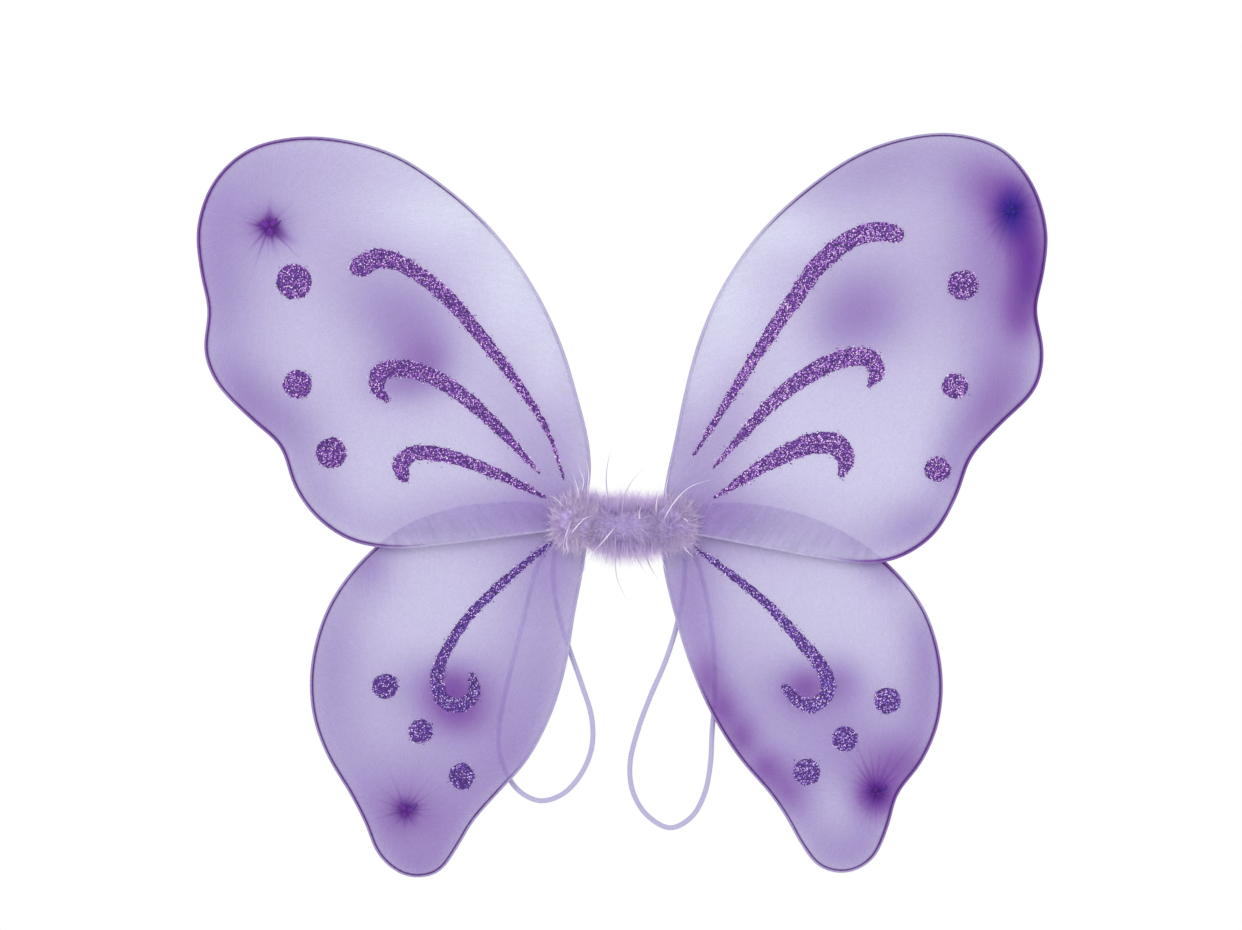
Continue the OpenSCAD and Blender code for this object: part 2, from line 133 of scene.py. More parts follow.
class Graph:
    """A material and its nodes."""

    def __init__(self, name):
        self.material = bpy.data.materials.new(name)
        self.material.use_nodes = True
        self.tree = self.material.node_tree
        self.shader = self.tree.nodes["Principled BSDF"]

    def feed(self, socket, value):
        if isinstance(value, bpy.types.NodeSocket):
            self.tree.links.new(value, socket)
        else:
            socket.default_value = value

    def node(self, kind, inputs=None, **settings):
        made = self.tree.nodes.new("ShaderNode" + kind)
        for key, value in settings.items():
            setattr(made, key, value)
        for key, value in (inputs or {}).items():
            self.feed(made.inputs[key], value)
        return made

    def maths(self, operation, a, b=0.0):
        return self.node("Math", {0: a, 1: b}, operation=operation).outputs[0]

    def place(self):
        return self.node("TexCoord").outputs["Object"]

    def turned(self, angle, wide_mm, long_mm):
        """Places turned in the wing's plane and stretched into threads."""
        made = self.node("Mapping", {"Vector": self.place(), "Rotation": (0.0, angle, 0.0),
                                     "Scale": (wide_mm * MM, 1.0, long_mm * MM)}, vector_type="TEXTURE")
        return made.outputs["Vector"]

    def attribute(self, name, output):
        return self.node("Attribute", attribute_name=name).outputs[output]

    def noise(self, scale, detail=2.0, roughness=0.5, vector=None):
        made = self.node("TexNoise", {"Vector": vector or self.place(), "Scale": scale, "Detail": detail,
                                      "Roughness": roughness})
        return made.outputs["Fac"]

    def wave(self, scale, direction, distortion=0.0, vector=None):
        made = self.node("TexWave", {"Vector": vector or self.place(), "Scale": scale,
                                     "Distortion": distortion, "Detail": 1.0}, bands_direction=direction)
        return made.outputs["Fac"]

    def around(self, value, low, high):
        """value, which runs from 0 to 1, moved to run from low to high."""
        return self.node("MapRange", {"Value": value, "To Min": low, "To Max": high}).outputs["Result"]

    def scaled(self, colour, by):
        made = self.node("VectorMath", {0: colour}, operation="SCALE")
        self.feed(made.inputs["Scale"], by)
        return made.outputs[0]

    def ramp(self, value, stops):
        made = self.node("ValToRGB", {"Fac": value})
        ramp = made.color_ramp
        while len(ramp.elements) < len(stops):
            ramp.elements.new(0.5)
        for element, (position, colour) in zip(ramp.elements, stops):
            element.position = position
            element.color = (*linear(colour), 1.0)
        return made.outputs["Color"]

    def bump(self, height, strength, distance_mm):
        made = self.node("Bump", {"Height": height, "Strength": strength, "Distance": distance_mm * MM})
        self.feed(self.shader.inputs["Normal"], made.outputs["Normal"])

    def finish(self, **sockets):
        for key, value in sockets.items():
            self.feed(self.shader.inputs[key.replace("_", " ")], value)
        return self.material


def gauze_material():
    """Sheer stretched nylon: see-through, with an airbrushed tint and fine pulled threads."""
    g = Graph("sheer_nylon")
    pull = g.attribute("pull", "Vector")
    grain = g.noise(900.0, 3.0, 0.7)
    cloud = g.noise(55.0, 3.0, 0.55)
    streak = g.noise(1.0, 3.0, 0.65, pull)
    across = g.noise(1.0, 2.0, 0.6, g.turned(0.62, 0.9, 22.0))
    along = g.noise(1.0, 2.0, 0.6, g.turned(-0.95, 0.9, 22.0))
    cross = g.maths("ADD", across, along)
    drawn = g.maths("MULTIPLY", g.around(streak, -0.2, 0.2), g.attribute("drawn", "Fac"))
    shade = g.maths("ADD", g.around(grain, 0.88, 1.12), g.around(cloud, -0.06, 0.06))
    shade = g.maths("ADD", shade, drawn)
    alpha = g.maths("ADD", g.attribute("tint", "Alpha"), g.around(grain, -0.13, 0.13))
    alpha = g.maths("ADD", alpha, drawn)
    alpha = g.maths("ADD", alpha, g.around(cross, -0.11, 0.0))
    alpha = g.node("Clamp", {"Value": g.maths("ADD", alpha, g.around(cloud, -0.04, 0.10))}).outputs[0]
    knit = g.maths("ADD", g.wave(330.0, "X", 1.0), g.wave(330.0, "Z", 1.0))
    g.bump(g.maths("ADD", g.maths("MULTIPLY", knit, 0.5), streak), 0.3, 0.15)
    return g.finish(Base_Color=g.scaled(g.attribute("tint", "Color"), shade), Alpha=alpha,
                    Roughness=g.around(grain, 0.42, 0.62), Sheen_Weight=0.04, Specular_IOR_Level=0.2)


def surface(name, grain, roughness, colour, bump=None, waves=(), share=1.0, vector=None, rough_scale=None,
            **constants):
    """A surface whose colour, roughness and relief come from one fine grain and any ridges over it.

    colour is either how far the grain shades the piece's own tint, or the stops of a ramp over the relief.
    """
    g = Graph(name)
    fine = g.noise(*grain, vector=g.attribute(vector, "Vector") if vector else None)
    relief = fine
    for scale, direction, distortion in waves:
        relief = g.maths("ADD", g.wave(scale, direction, distortion), relief)
    if bump:
        g.bump(relief, *bump)
    if isinstance(colour, tuple):
        constants["Base_Color"] = g.scaled(g.attribute("tint", "Color"), g.around(fine, *colour))
    else:
        constants["Base_Color"] = g.ramp(g.maths("MULTIPLY", relief, share), colour)
    worn = g.noise(rough_scale) if rough_scale else fine
    return g.finish(Roughness=g.around(worn, *roughness), **constants)


def thread_material(name, dark, light):
    """Twisted thread."""
    return surface(name, (1500.0, 3.0), (0.6, 0.85), [(0.2, dark), (0.75, light)], (0.5, 0.12),
                   [(900.0, "DIAGONAL", 1.5)], 0.5, Sheen_Weight=0.05, Specular_IOR_Level=0.2)


GAUZE = gauze_material()
# Bent wire, dyed along parts of its rim and darker along its inner side: painted shade
WIRE = surface("bent_wire", (1500.0, 3.0), (0.3, 0.5), (0.85, 1.15), (0.15, 0.05), rough_scale=400.0,
               Metallic=0.35)
# Bright steel wire with fine drawing marks
STEEL = surface("steel_wire", (1200.0, 4.0), (0.25, 0.45), [(0.3, (118, 116, 128)), (0.7, (176, 174, 186))],
                (0.2, 0.05), Metallic=1.0)
# Glitter flakes of several violets, each with its own colour, the palest partly painted glints, and the dark
# glue that they lie in
GLITTER = surface("glitter_flakes", (2500.0, 2.0), (0.2, 0.45), (0.8, 1.2), Metallic=0.1)
GLUE = surface("glitter_glue", (1300.0, 3.0, 0.7), (0.35, 0.65),
               [(0.35, (62, 24, 106)), (0.62, (98, 52, 144)), (0.74, (156, 114, 192))], (0.6, 0.3),
               Metallic=0.2)
# Bunched nylon of a knot, with folds and knit
BUNCHED = surface("bunched_nylon", (500.0, 3.0), (0.6, 0.85), (0.75, 1.25), (0.4, 0.15),
                  [(420.0, "X", 2.0), (420.0, "Z", 2.0)], Sheen_Weight=0.05, Specular_IOR_Level=0.2)
# Florist's tape, crinkled and slightly waxy
TAPE = surface("binding_tape", (900.0, 4.0, 0.7), (0.4, 0.7),
               [(0.2, (168, 150, 190)), (0.8, (222, 212, 236))], (0.6, 0.25), [(90.0, "DIAGONAL", 1.0)], 0.5)
# Dyed down: matt with a soft violet sheen, each barb its own shade
MARABOU = surface("marabou_down", (260.0, 3.0, 0.6), (0.6, 0.85), (0.88, 1.12), Sheen_Weight=1.0,
                  Sheen_Roughness=0.6, Sheen_Tint=(*linear((214, 190, 255)), 1.0), Specular_IOR_Level=0.1)
# Braided elastic with its fine threads, and the same elastic on the hidden knots
ELASTIC = surface("elastic_braid", (1.0, 3.0, 0.6), (0.5, 0.75), (0.86, 1.14), (0.35, 0.12), vector="pull",
                  Sheen_Weight=0.3)
LEAD = surface("elastic_strand", (1600.0, 3.0), (0.5, 0.75),
               [(0.15, (168, 162, 190)), (0.8, (212, 209, 230))], (0.5, 0.15),
               [(260.0, "X", 1.0), (260.0, "Z", 1.0)], 0.4, Sheen_Weight=0.3)
FLOOR = surface("pale_floor", (40.0, 2.0), (0.9, 0.9), [(0.3, (248, 248, 250)), (0.7, (252, 252, 253))])
DARK_THREAD = thread_material("violet_thread", (46, 20, 108), (78, 48, 150))
PALE_THREAD = thread_material("lilac_thread", (150, 132, 182), (214, 202, 236))

# ---------------------------------------------------------------- camera and cords

camera = bpy.data.cameras.new("camera")
camera.lens = 100
camera.sensor_width = 36
camera.clip_end = 20
viewer = bpy.data.objects.new("camera", camera)
viewer.location = (-0.0017, -1.982, 0.0341)
viewer.rotation_euler = (math.pi / 2, 0, 0)
bpy.context.scene.collection.objects.link(viewer)
bpy.context.scene.camera = viewer


def curve(points, steps):
    """A smooth curve through points, with some steps between each two."""
    p = [np.array(q, float) for q in points]
    p = [2 * p[0] - p[1]] + p + [2 * p[-1] - p[-2]]
    out = []
    for i in range(1, len(p) - 2):
        q = p[i - 1:i + 3]
        t = np.cumsum([0] + [math.sqrt(np.linalg.norm(q[k + 1] - q[k])) for k in range(3)])
        for k in range(steps):
            at = t[1] + (t[2] - t[1]) * k / steps
            a = [((t[j + 1] - at) * q[j] + (at - t[j]) * q[j + 1]) / (t[j + 1] - t[j]) for j in range(3)]
            b = [((t[j + 2] - at) * a[j] + (at - t[j]) * a[j + 1]) / (t[j + 2] - t[j]) for j in range(2)]
            out.append(((t[2] - at) * b[0] + (at - t[1]) * b[1]) / (t[2] - t[1]))
    out.append(p[-2])
    return np.array(out)


def evenly(path, step, closed=False):
    """The same line with points an even step apart."""
    path = np.vstack([path, path[:1]]) if closed else np.asarray(path)
    run = np.concatenate([[0], np.cumsum(np.linalg.norm(np.diff(path, axis=0), axis=1))])
    count = max(int(round(run[-1] / step)), 4)
    at = np.linspace(0, run[-1], count + 1)
    if closed:
        at = at[:-1]
    return np.stack([np.interp(at, run, path[:, k]) for k in range(path.shape[1])], axis=1)


LEFT_LOOP = [
    (-0.0435, -0.0135), (-0.049, -0.023), (-0.053, -0.035), (-0.057, -0.052), (-0.0615, -0.070),
    (-0.066, -0.088), (-0.070, -0.106), (-0.072, -0.123), (-0.069, -0.139), (-0.0605, -0.1525),
    (-0.048, -0.1585), (-0.035, -0.1545), (-0.0245, -0.143), (-0.0185, -0.128), (-0.0185, -0.111),
    (-0.0245, -0.091), (-0.0315, -0.071), (-0.0375, -0.051), (-0.0405, -0.031), (-0.0395, -0.0135),
]
RIGHT_LOOP = [
    (0.039, -0.0135), (0.0435, -0.026), (0.0475, -0.042), (0.0505, -0.060), (0.052, -0.080),
    (0.052, -0.100), (0.0505, -0.120), (0.0495, -0.138), (0.046, -0.155), (0.0385, -0.168),
    (0.0265, -0.174), (0.013, -0.1665), (0.005, -0.153), (0.0035, -0.137), (0.008, -0.118),
    (0.015, -0.099), (0.024, -0.078), (0.0305, -0.057), (0.0345, -0.034), (0.035, -0.0135),
]
STRAP_Y = -3.0
ELASTIC_R = 1.5
BRAID_STEP = 0.4
BRAID_PITCH = 1.9
BRAID_STRANDS = 4


def strap(name, loop, body):
    """An arm loop of round braided elastic."""
    path = curve([(x / MM, STRAP_Y, z / MM) for x, z in loop], 10)
    path = evenly(path, BRAID_STEP)
    sides = 24
    ahead = unit(np.gradient(path, axis=0))
    across = unit(np.cross(ahead, [0.0, 1.0, 0.0]))
    over = np.cross(across, ahead)
    turn = np.arange(sides) * TAU / sides
    run = np.arange(len(path))[:, None] * BRAID_STEP
    over_under = (np.cos(BRAID_STRANDS * turn + run * BRAID_PITCH)
                  * np.cos(BRAID_STRANDS * turn - run * BRAID_PITCH))
    r = (ELASTIC_R - 0.05) + 0.05 * over_under
    r = r * (1 + 0.012 * np.sin(run * 0.31 + 1.0))
    points = (path[:, None] + r[..., None] * (np.cos(turn)[None, :, None] * across[:, None]
                                              + np.sin(turn)[None, :, None] * over[:, None]))
    # Strands that pass under others are darker and those on top paler, following the braid's relief: painted
    # shade in its hollows
    pale, deep = linear((186, 179, 214)), linear((170, 162, 199))
    mix = (0.5 + 0.5 * over_under)[..., None]
    tint = (deep + (pale - deep) * mix).reshape(-1, 3)
    threads = np.stack(np.broadcast_arrays(turn * 9, run * 0.9, over_under), axis=-1).reshape(-1, 3)
    piece = make_object(name, points.reshape(-1, 3), tube_faces(len(path), sides, flip=True), ELASTIC, tint,
                        {"pull": threads})
    place_piece(piece, body, "elastic", name.replace("_elastic", "_strap"))


strap("left_elastic", LEFT_LOOP, "left_arm_loop")
strap("right_elastic", RIGHT_LOOP, "right_arm_loop")

# ---------------------------------------------------------------- outlines of the CAD pieces


def front_outlines(node):
    """Closed outlines of a CAD node's forward-looking faces, nearest the viewer first: X and Z."""
    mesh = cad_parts[node].data
    places = np.array([v.co[:] for v in mesh.vertices]) / MM
    _, first, merged = np.unique(np.round(places, 3), axis=0, return_index=True, return_inverse=True)
    merged = merged.ravel()
    edges = {}
    for face in mesh.polygons:
        if face.normal.y < -0.7:
            corners = [int(merged[i]) for i in face.vertices]
            for a, b in zip(corners, corners[1:] + corners[:1]):
                edges[(a, b)] = True
    follow = {a: b for a, b in edges if (b, a) not in edges}
    loops = []
    while follow:
        at = next(iter(follow))
        loop = []
        while at in follow:
            loop.append(at)
            at = follow.pop(at)
        if len(loop) > 8:
            loops.append(places[first[loop]])
    loops.sort(key=lambda l: l[:, 1].mean())
    return [l[:, [0, 2]] for l in loops]


def smooth_ring(loop, spread):
    """A closed line of even points, smoothed over a distance counted in points."""
    f = np.fft.fftfreq(len(loop))
    keep = np.exp(-2 * (math.pi * spread * f) ** 2)[:, None]
    return np.fft.ifft(np.fft.fft(loop, axis=0) * keep, axis=0).real


def outward(loop):
    """Outward normals of a closed line in XZ."""
    d = unit(np.roll(loop, -1, axis=0) - np.roll(loop, 1, axis=0))
    n = np.stack([d[:, 1], -d[:, 0]], axis=1)
    x, z = loop[:, 0], loop[:, 1]
    area = 0.5 * np.sum(x * np.roll(z, -1) - np.roll(x, -1) * z)
    return n if area > 0 else -n


def nearest(points, line):
    """Distance from each point to the nearest point of a line."""
    best = np.full(len(points), 1e9)
    for part in np.array_split(np.arange(len(line)), max(len(line) // 64, 1)):
        gap = np.linalg.norm(points[:, None] - line[None, part], axis=2).min(axis=1)
        best = np.minimum(best, gap)
    return best


# ---------------------------------------------------------------- dye

# Airbrushed spots on each wing: x, z, how far they spread across and up, depth of colour
SPOTS = {
    "upper_left": [
        (-200, 188, 45, 28, 0.25), (-228, 135, 22, 48, 0.30), (-165, 75, 60, 45, 0.12),
        (-150, 150, 30, 20, 0.16), (-119, 104, 20, 21, 0.42), (-112, 92, 10, 10, 0.35),
        (-137, 126, 22, 15, 0.22), (-128, 80, 13, 8, 0.30), (-216, 72, 14, 16, 0.22),
        (-196, 58, 18, 14, 0.20), (-178, 22, 14, 22, 0.16), (-42, 40, 18, 34, 0.32),
        (-66, 84, 16, 30, 0.16), (-60, 6, 44, 14, 0.36), (-201, 169, 9, 8, 0.4), (-95, 178, 30, 12, -0.85),
        (-64, 140, 13, 30, -0.80), (-44, 100, 10, 26, -0.55),
    ],
    "upper_right": [
        (150, 205, 55, 20, 0.24), (203, 193, 12, 11, 0.34), (218, 180, 9, 12, 0.96),
        (225, 167, 7, 12, 0.90), (229, 152, 6.5, 12, 0.86), (228, 137, 6.5, 11, 0.78),
        (224, 120, 8, 13, 0.62), (208, 150, 18, 42, 0.42), (214, 84, 14, 18, 0.34), (206, 60, 14, 16, 0.34),
        (190, 30, 12, 20, 0.28), (165, 0, 18, 12, 0.26), (137, 122, 19, 19, 0.42), (120, 112, 12, 14, 0.18),
        (165, 150, 45, 35, 0.16), (105, 165, 20, 25, 0.10), (42, 40, 18, 34, 0.34), (62, 70, 14, 26, 0.18),
        (52, 4, 38, 14, 0.38), (150, 100, 70, 50, 0.06), (82, 168, 28, 12, -0.85), (58, 132, 11, 30, -0.85),
        (42, 92, 9, 24, -0.50),
    ],
    "lower_left": [
        (-165, -80, 16, 45, 0.26), (-99, -94, 11, 10, 0.66), (-95, -108, 13, 10, 0.52),
        (-118, -92, 16, 14, 0.26), (-84, -96, 14, 16, 0.28), (-120, -150, 34, 28, 0.36),
        (-118, -172, 16, 14, 0.26), (-114, -196, 16, 9, 0.25), (-55, -85, 20, 48, 0.24),
        (-40, -25, 16, 24, 0.30), (-145, -28, 12, 12, 0.20), (-70, 0, 35, 14, 0.22),
        (-125, -163, 9, 9, 0.3), (-70, -135, 20, 14, 0.20), (-137, -8, 10, 6, 0.45),
        (-122, -1, 14, 5, 0.28), (-148, -20, 9, 8, 0.25),
    ],
    "lower_right": [
        (47, -88, 7, 12, 0.48), (56, -106, 7, 10, 0.55), (67, -122, 7, 9, 0.55), (80, -139, 8, 9, 0.52),
        (93, -152, 10, 12, 0.46), (103, -93, 9, 9, 0.60), (122, -90, 10, 10, 0.40), (90, -92, 12, 12, 0.12),
        (118, -112, 34, 22, 0.34), (144, -154, 9, 9, 0.92), (157, -138, 15, 12, 0.52),
        (130, -138, 22, 14, 0.22), (172, -100, 10, 30, 0.14), (128, -184, 24, 16, 0.26),
        (38, -40, 14, 30, 0.40), (70, -90, 18, 34, 0.14), (60, 0, 38, 14, 0.36), (140, -15, 8, 6, 0.62),
        (128, -8, 12, 6, 0.35), (152, -26, 10, 8, 0.30), (174, -60, 8, 26, 0.22),
    ],
}
# Parts of each rim with colour sprayed along it: x, z, reach, depth
RIM_SPRAY = {
    "upper_left": [(-185, 205, 45, 0.08), (-238, 150, 42, 0.14), (-205, 60, 40, 0.18), (-150, -6, 45, 0.18)],
    "upper_right": [(165, 212, 45, 0.12), (236, 140, 45, 0.14), (206, 50, 42, 0.18), (152, -14, 40, 0.20)],
    "lower_left": [(-172, -90, 50, 0.10), (-140, -185, 40, 0.18), (-90, -175, 34, 0.20),
                   (-45, -105, 34, 0.16)],
    "lower_right": [(176, -95, 50, 0.20), (135, -190, 40, 0.18), (90, -165, 30, 0.20), (50, -100, 34, 0.16)],
}
# Parts of each rim where the wire stays pale, with little dye or painted shade along it: x, z, reach
PALE_RIM = {
    "upper_left": [(-30, 60, 45), (-60, 140, 35), (-84, -8, 38), (-40, -2, 30)],
    "upper_right": [(32, 60, 45), (62, 140, 35), (95, -14, 40), (45, -4, 30)],
    "lower_left": [(-60, 10, 45), (-110, 6, 25), (-24, -45, 36), (-35, -90, 30), (-52, -122, 26)],
    "lower_right": [(60, 10, 45), (112, 4, 25), (26, -40, 40), (40, -78, 20)],
}
# Parts of each rim where the dye has run over the whole wire: x, z, reach, depth
STAINED_RIM = {
    "upper_left": [(-205, 205, 45, 0.55), (-244, 165, 40, 0.65), (-226, 110, 30, 0.5), (-196, 45, 32, 0.6),
                   (-158, -4, 26, 0.6)],
    "upper_right": [(242, 165, 34, 0.75), (232, 128, 30, 1.0), (222, 85, 30, 0.85), (200, 44, 34, 0.85),
                    (160, -8, 30, 0.85)],
    "lower_left": [(-178, -80, 40, 0.25), (-150, -155, 26, 0.25)],
    "lower_right": [(180, -100, 34, 0.6), (156, -155, 28, 0.6), (136, -18, 20, 0.8), (60, -120, 26, 0.3)],
}
BASE_DYE = {"upper_left": 0.13, "upper_right": 0.13, "lower_left": 0.20, "lower_right": 0.19}
# What two layers of nylon look like over white, from undyed to the deepest colour
DYE_STOPS = [0.0, 0.25, 0.5, 0.75, 1.0]
DYE_COLOURS = [(218, 219, 238), (200, 193, 224), (170, 154, 203), (138, 101, 174), (96, 46, 144)]
BLUE_CORE = (219.5, 177, 5.5, 9)
BLUE = (44, 36, 146)


def fade(x, z, sx, sz, rx, rz, power=1.0):
    """1 in the middle of a spot, fading out round it, more suddenly for a higher power."""
    return np.exp(-0.5 * (((x - sx) / rx) ** 2 + ((z - sz) / rz) ** 2) ** power)


def dyed(dye, more):
    """More dye laid over some dye: the two together never pass 1."""
    return 1 - (1 - dye) * (1 - more)


def dye_at(wing, x, z, depth):
    """How much dye lies at each place: 0 to 1. A spot of less than no depth takes dye off."""
    left = 1 - BASE_DYE[wing] + 0 * x
    for sx, sz, rx, rz, amount in SPOTS[wing]:
        spot = fade(x, z, sx, sz, rx, rz)
        left = left * (1 - amount * spot) if amount > 0 else 1 - (1 - left) * (1 + amount * spot)
    spray = 0 * x
    for sx, sz, reach, amount in RIM_SPRAY[wing]:
        spray = np.maximum(spray, amount * fade(x, z, sx, sz, reach, reach, 1.5))
    hump = np.where(depth < 8, np.exp(-((depth - 8) / 7.0) ** 2), np.exp(-((depth - 8) / 16.0) ** 2))
    left = left * (1 - spray * hump)
    return 1 - left


def rim_dye_and_shade(wing, x, z):
    """How dark the line along the wire is, 0 to 1: partly dye, partly painted shade of the wire's inner side.
    """
    dark = 1 + 0 * x
    for sx, sz, reach in PALE_RIM[wing]:
        dark = dark * (1 - 0.92 * fade(x, z, sx, sz, reach, reach, 2))
    return dark


def rim_stain(wing, x, z):
    """How far the wire itself is dyed: 0 to 1."""
    stain = 0 * x
    for sx, sz, reach, amount in STAINED_RIM[wing]:
        stain = np.maximum(stain, amount * fade(x, z, sx, sz, reach, reach, 2))
    return stain


def nylon_tint(dye, blue, thick):
    """Colour and opacity of one layer, so that two over white show the dye's colour."""
    stops = np.array([linear(c) for c in DYE_COLOURS])
    shown = np.stack([np.interp(dye, DYE_STOPS, stops[:, k]) for k in range(3)], axis=1)
    shown = shown + (linear(BLUE) - shown) * blue[:, None]
    opacity = 0.57 + 0.36 * np.clip(dye, 0, 1) ** 1.2
    opacity = opacity + (1 - opacity) * thick
    through = (1 - opacity[:, None]) ** 2
    own = np.clip((shown - through) / (1 - through) - 0.008, 0.006, 0.95)
    return np.hstack([own, opacity[:, None]])


# ---------------------------------------------------------------- wings

WINGS = {
    "upper_left": (-1, 1), "upper_right": (1, 1), "lower_left": (-1, -1), "lower_right": (1, -1),
}
LOOP_POINTS = 430
RING_POINTS = 70
KNOT_R = 2.2
# How far a knot's own dye reaches, and how deep it is
KNOT_DYE = {"upper_left": (5.2, 0.85), "upper_right": (7.0, 0.8), "lower_left": (5.4, 0.9),
            "lower_right": (6.0, 0.95)}
# Dyed pleats that run out from each knot: heading in degrees, reach, half width, depth
PLEATS = {
    "upper_left": [
        (172, 9, 1.1, 0.6), (158, 18, 0.5, 0.25), (230, 13, 1.0, 0.5), (250, 19, 0.7, 0.5),
        (282, 10, 1.2, 0.5), (314, 20, 0.6, 0.5), (328, 12, 3.6, 0.95), (88, 9, 2.6, 0.9),
        (176, 7, 2.0, 0.8), (25, 12, 0.5, 0.25), (62, 10, 0.5, 0.3), (203, 12, 0.5, 0.3),
        (268, 14, 0.5, 0.3),
    ],
    "upper_right": [
        (232, 17, 0.8, 0.5), (250, 20, 0.7, 0.45), (212, 14, 0.6, 0.4), (268, 22, 0.6, 0.4),
        (180, 12, 0.7, 0.4), (150, 14, 0.6, 0.35), (122, 13, 0.6, 0.4), (98, 14, 0.7, 0.4),
        (64, 15, 0.5, 0.4), (38, 14, 0.6, 0.4), (10, 13, 0.6, 0.35), (336, 14, 0.8, 0.4),
        (290, 20, 0.9, 0.5),
    ],
    "lower_left": [
        (196, 10, 0.8, 0.4), (160, 12, 0.7, 0.45), (138, 15, 0.6, 0.4), (112, 15, 0.7, 0.35),
        (76, 11, 0.6, 0.3), (52, 14, 0.6, 0.35), (34, 15, 0.6, 0.35), (12, 11, 0.7, 0.4),
        (340, 9, 0.6, 0.35), (300, 9, 0.8, 0.35), (262, 9, 0.8, 0.35), (228, 9, 0.6, 0.3),
    ],
    "lower_right": [
        (112, 22, 0.8, 0.5), (98, 19, 0.6, 0.5), (126, 18, 0.7, 0.5), (140, 14, 0.6, 0.4),
        (84, 17, 0.7, 0.45), (68, 20, 0.8, 0.5), (52, 20, 0.9, 0.5), (156, 11, 0.7, 0.4),
        (176, 10, 0.6, 0.35), (200, 8, 0.6, 0.3), (36, 16, 0.8, 0.4), (300, 8, 0.6, 0.3),
    ],
}
# The same of each knot's fainter pleats, which lie at random: from and to
FAINT_PLEAT = [(0, 360), (5, 16), (0.3, 0.6), (0.1, 0.3)]
FAINT_PLEATS = 16


def ring_places(count, length=200.0):
    """Fractions from the rim in to the knot, closer together at both ends."""
    at = np.linspace(0, length, 4000)
    step = np.minimum(np.minimum(4.0, 0.34 + 0.15 * at), 0.55 + 0.10 * (length - at))
    run = np.concatenate([[0], np.cumsum(1 / step[1:])])
    return np.interp(np.linspace(0, run[-1], count), run, at) / length


def knot_of(wing):
    low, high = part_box(wing + "_gather")
    return np.array([(low[0] + high[0]) / 2, (low[2] + high[2]) / 2]) / MM


def half_gap(depth):
    """Half the space between the two layers of nylon at a depth inside the rim."""
    return 0.7 + (RIM_R - 0.7) * np.exp(-np.maximum(depth, 0) / 22.0)


def rim_of(wing):
    """The wire's line round a wing, as even points."""
    loop = smooth_ring(evenly(front_outlines(wing + "_cover")[0], 0.5, closed=True), 6.0)
    loop = loop - COVER_HALF * outward(loop)
    return smooth_ring(evenly(loop, 0.5, closed=True), 3.0)


RIMS = {wing: rim_of(wing) for wing in WINGS}


def nylon_look(wing, points, depths, rng):
    """A wing's dye and opacity at each point, and which way its pulled threads run there."""
    knot = knot_of(wing)
    px, pz = points[:, 0], points[:, 2]
    rhos = np.hypot(px - knot[0], pz - knot[1])
    dye = dye_at(wing, px, pz, depths)
    dark = rim_dye_and_shade(wing, px, pz)
    # A dark line just inside the rim: painted shade of the wire's inner side seen through the nylon, deepened
    # by dye where the rim is dyed
    line = np.exp(-((depths - 0.55) / 0.42) ** 2) * dark
    dye = dyed(dye, 0.85 * line)
    th = np.arctan2(pz - knot[1], px - knot[0])
    faint = [tuple(rng.uniform(low, high) for low, high in FAINT_PLEAT) for _ in range(FAINT_PLEATS)]
    for heading, reach, narrow, deep in PLEATS[wing] + faint:
        off = np.abs((th - math.radians(heading) + math.pi) % TAU - math.pi) * np.maximum(rhos, 1.5)
        narrowed = narrow * (1.3 - 0.6 * np.minimum(rhos / reach, 1))
        dye = dyed(dye, deep * np.exp(-(off / narrowed) ** 2) * np.exp(-((rhos / reach) ** 2)))
    core, core_dye = KNOT_DYE[wing]
    dye = dyed(dye, core_dye * np.exp(-((rhos / core) ** 2)))
    outer = np.exp(-((depths + 0.6) / 0.5) ** 2)
    dye = dye + (0.30 + 0.10 * dark - dye) * 0.7 * outer
    stain = rim_stain(wing, px, pz)
    dye = dyed(dye, 0.95 * stain * np.exp(-((depths - 0.1) / 1.25) ** 2))
    blue = 0 * px
    if wing == "upper_right":
        blue = 0.85 * fade(px, pz, *BLUE_CORE)
    thick = 0.25 * outer + 0.25 * np.exp(-np.hypot(np.abs(px) - 20, pz) / 14.0)
    tint = nylon_tint(dye, blue, thick)
    # The same line darkens the nylon and makes it nearly opaque: painted shade of the wire
    tint[:, :3] *= 1 - 0.6 * line[:, None]
    tint[:, 3] += (0.96 - tint[:, 3]) * 0.85 * line
    pull = np.stack([th * 55.0, rhos * 0.05, 0 * px], axis=1)
    drawn = 0.3 + 0.7 * np.exp(-((rhos / 42.0) ** 2)) + 0.5 * np.exp(-np.maximum(depths, 0) / 13.0)
    return tint, {"pull": pull, "drawn": np.repeat(drawn[:, None], 3, axis=1)}


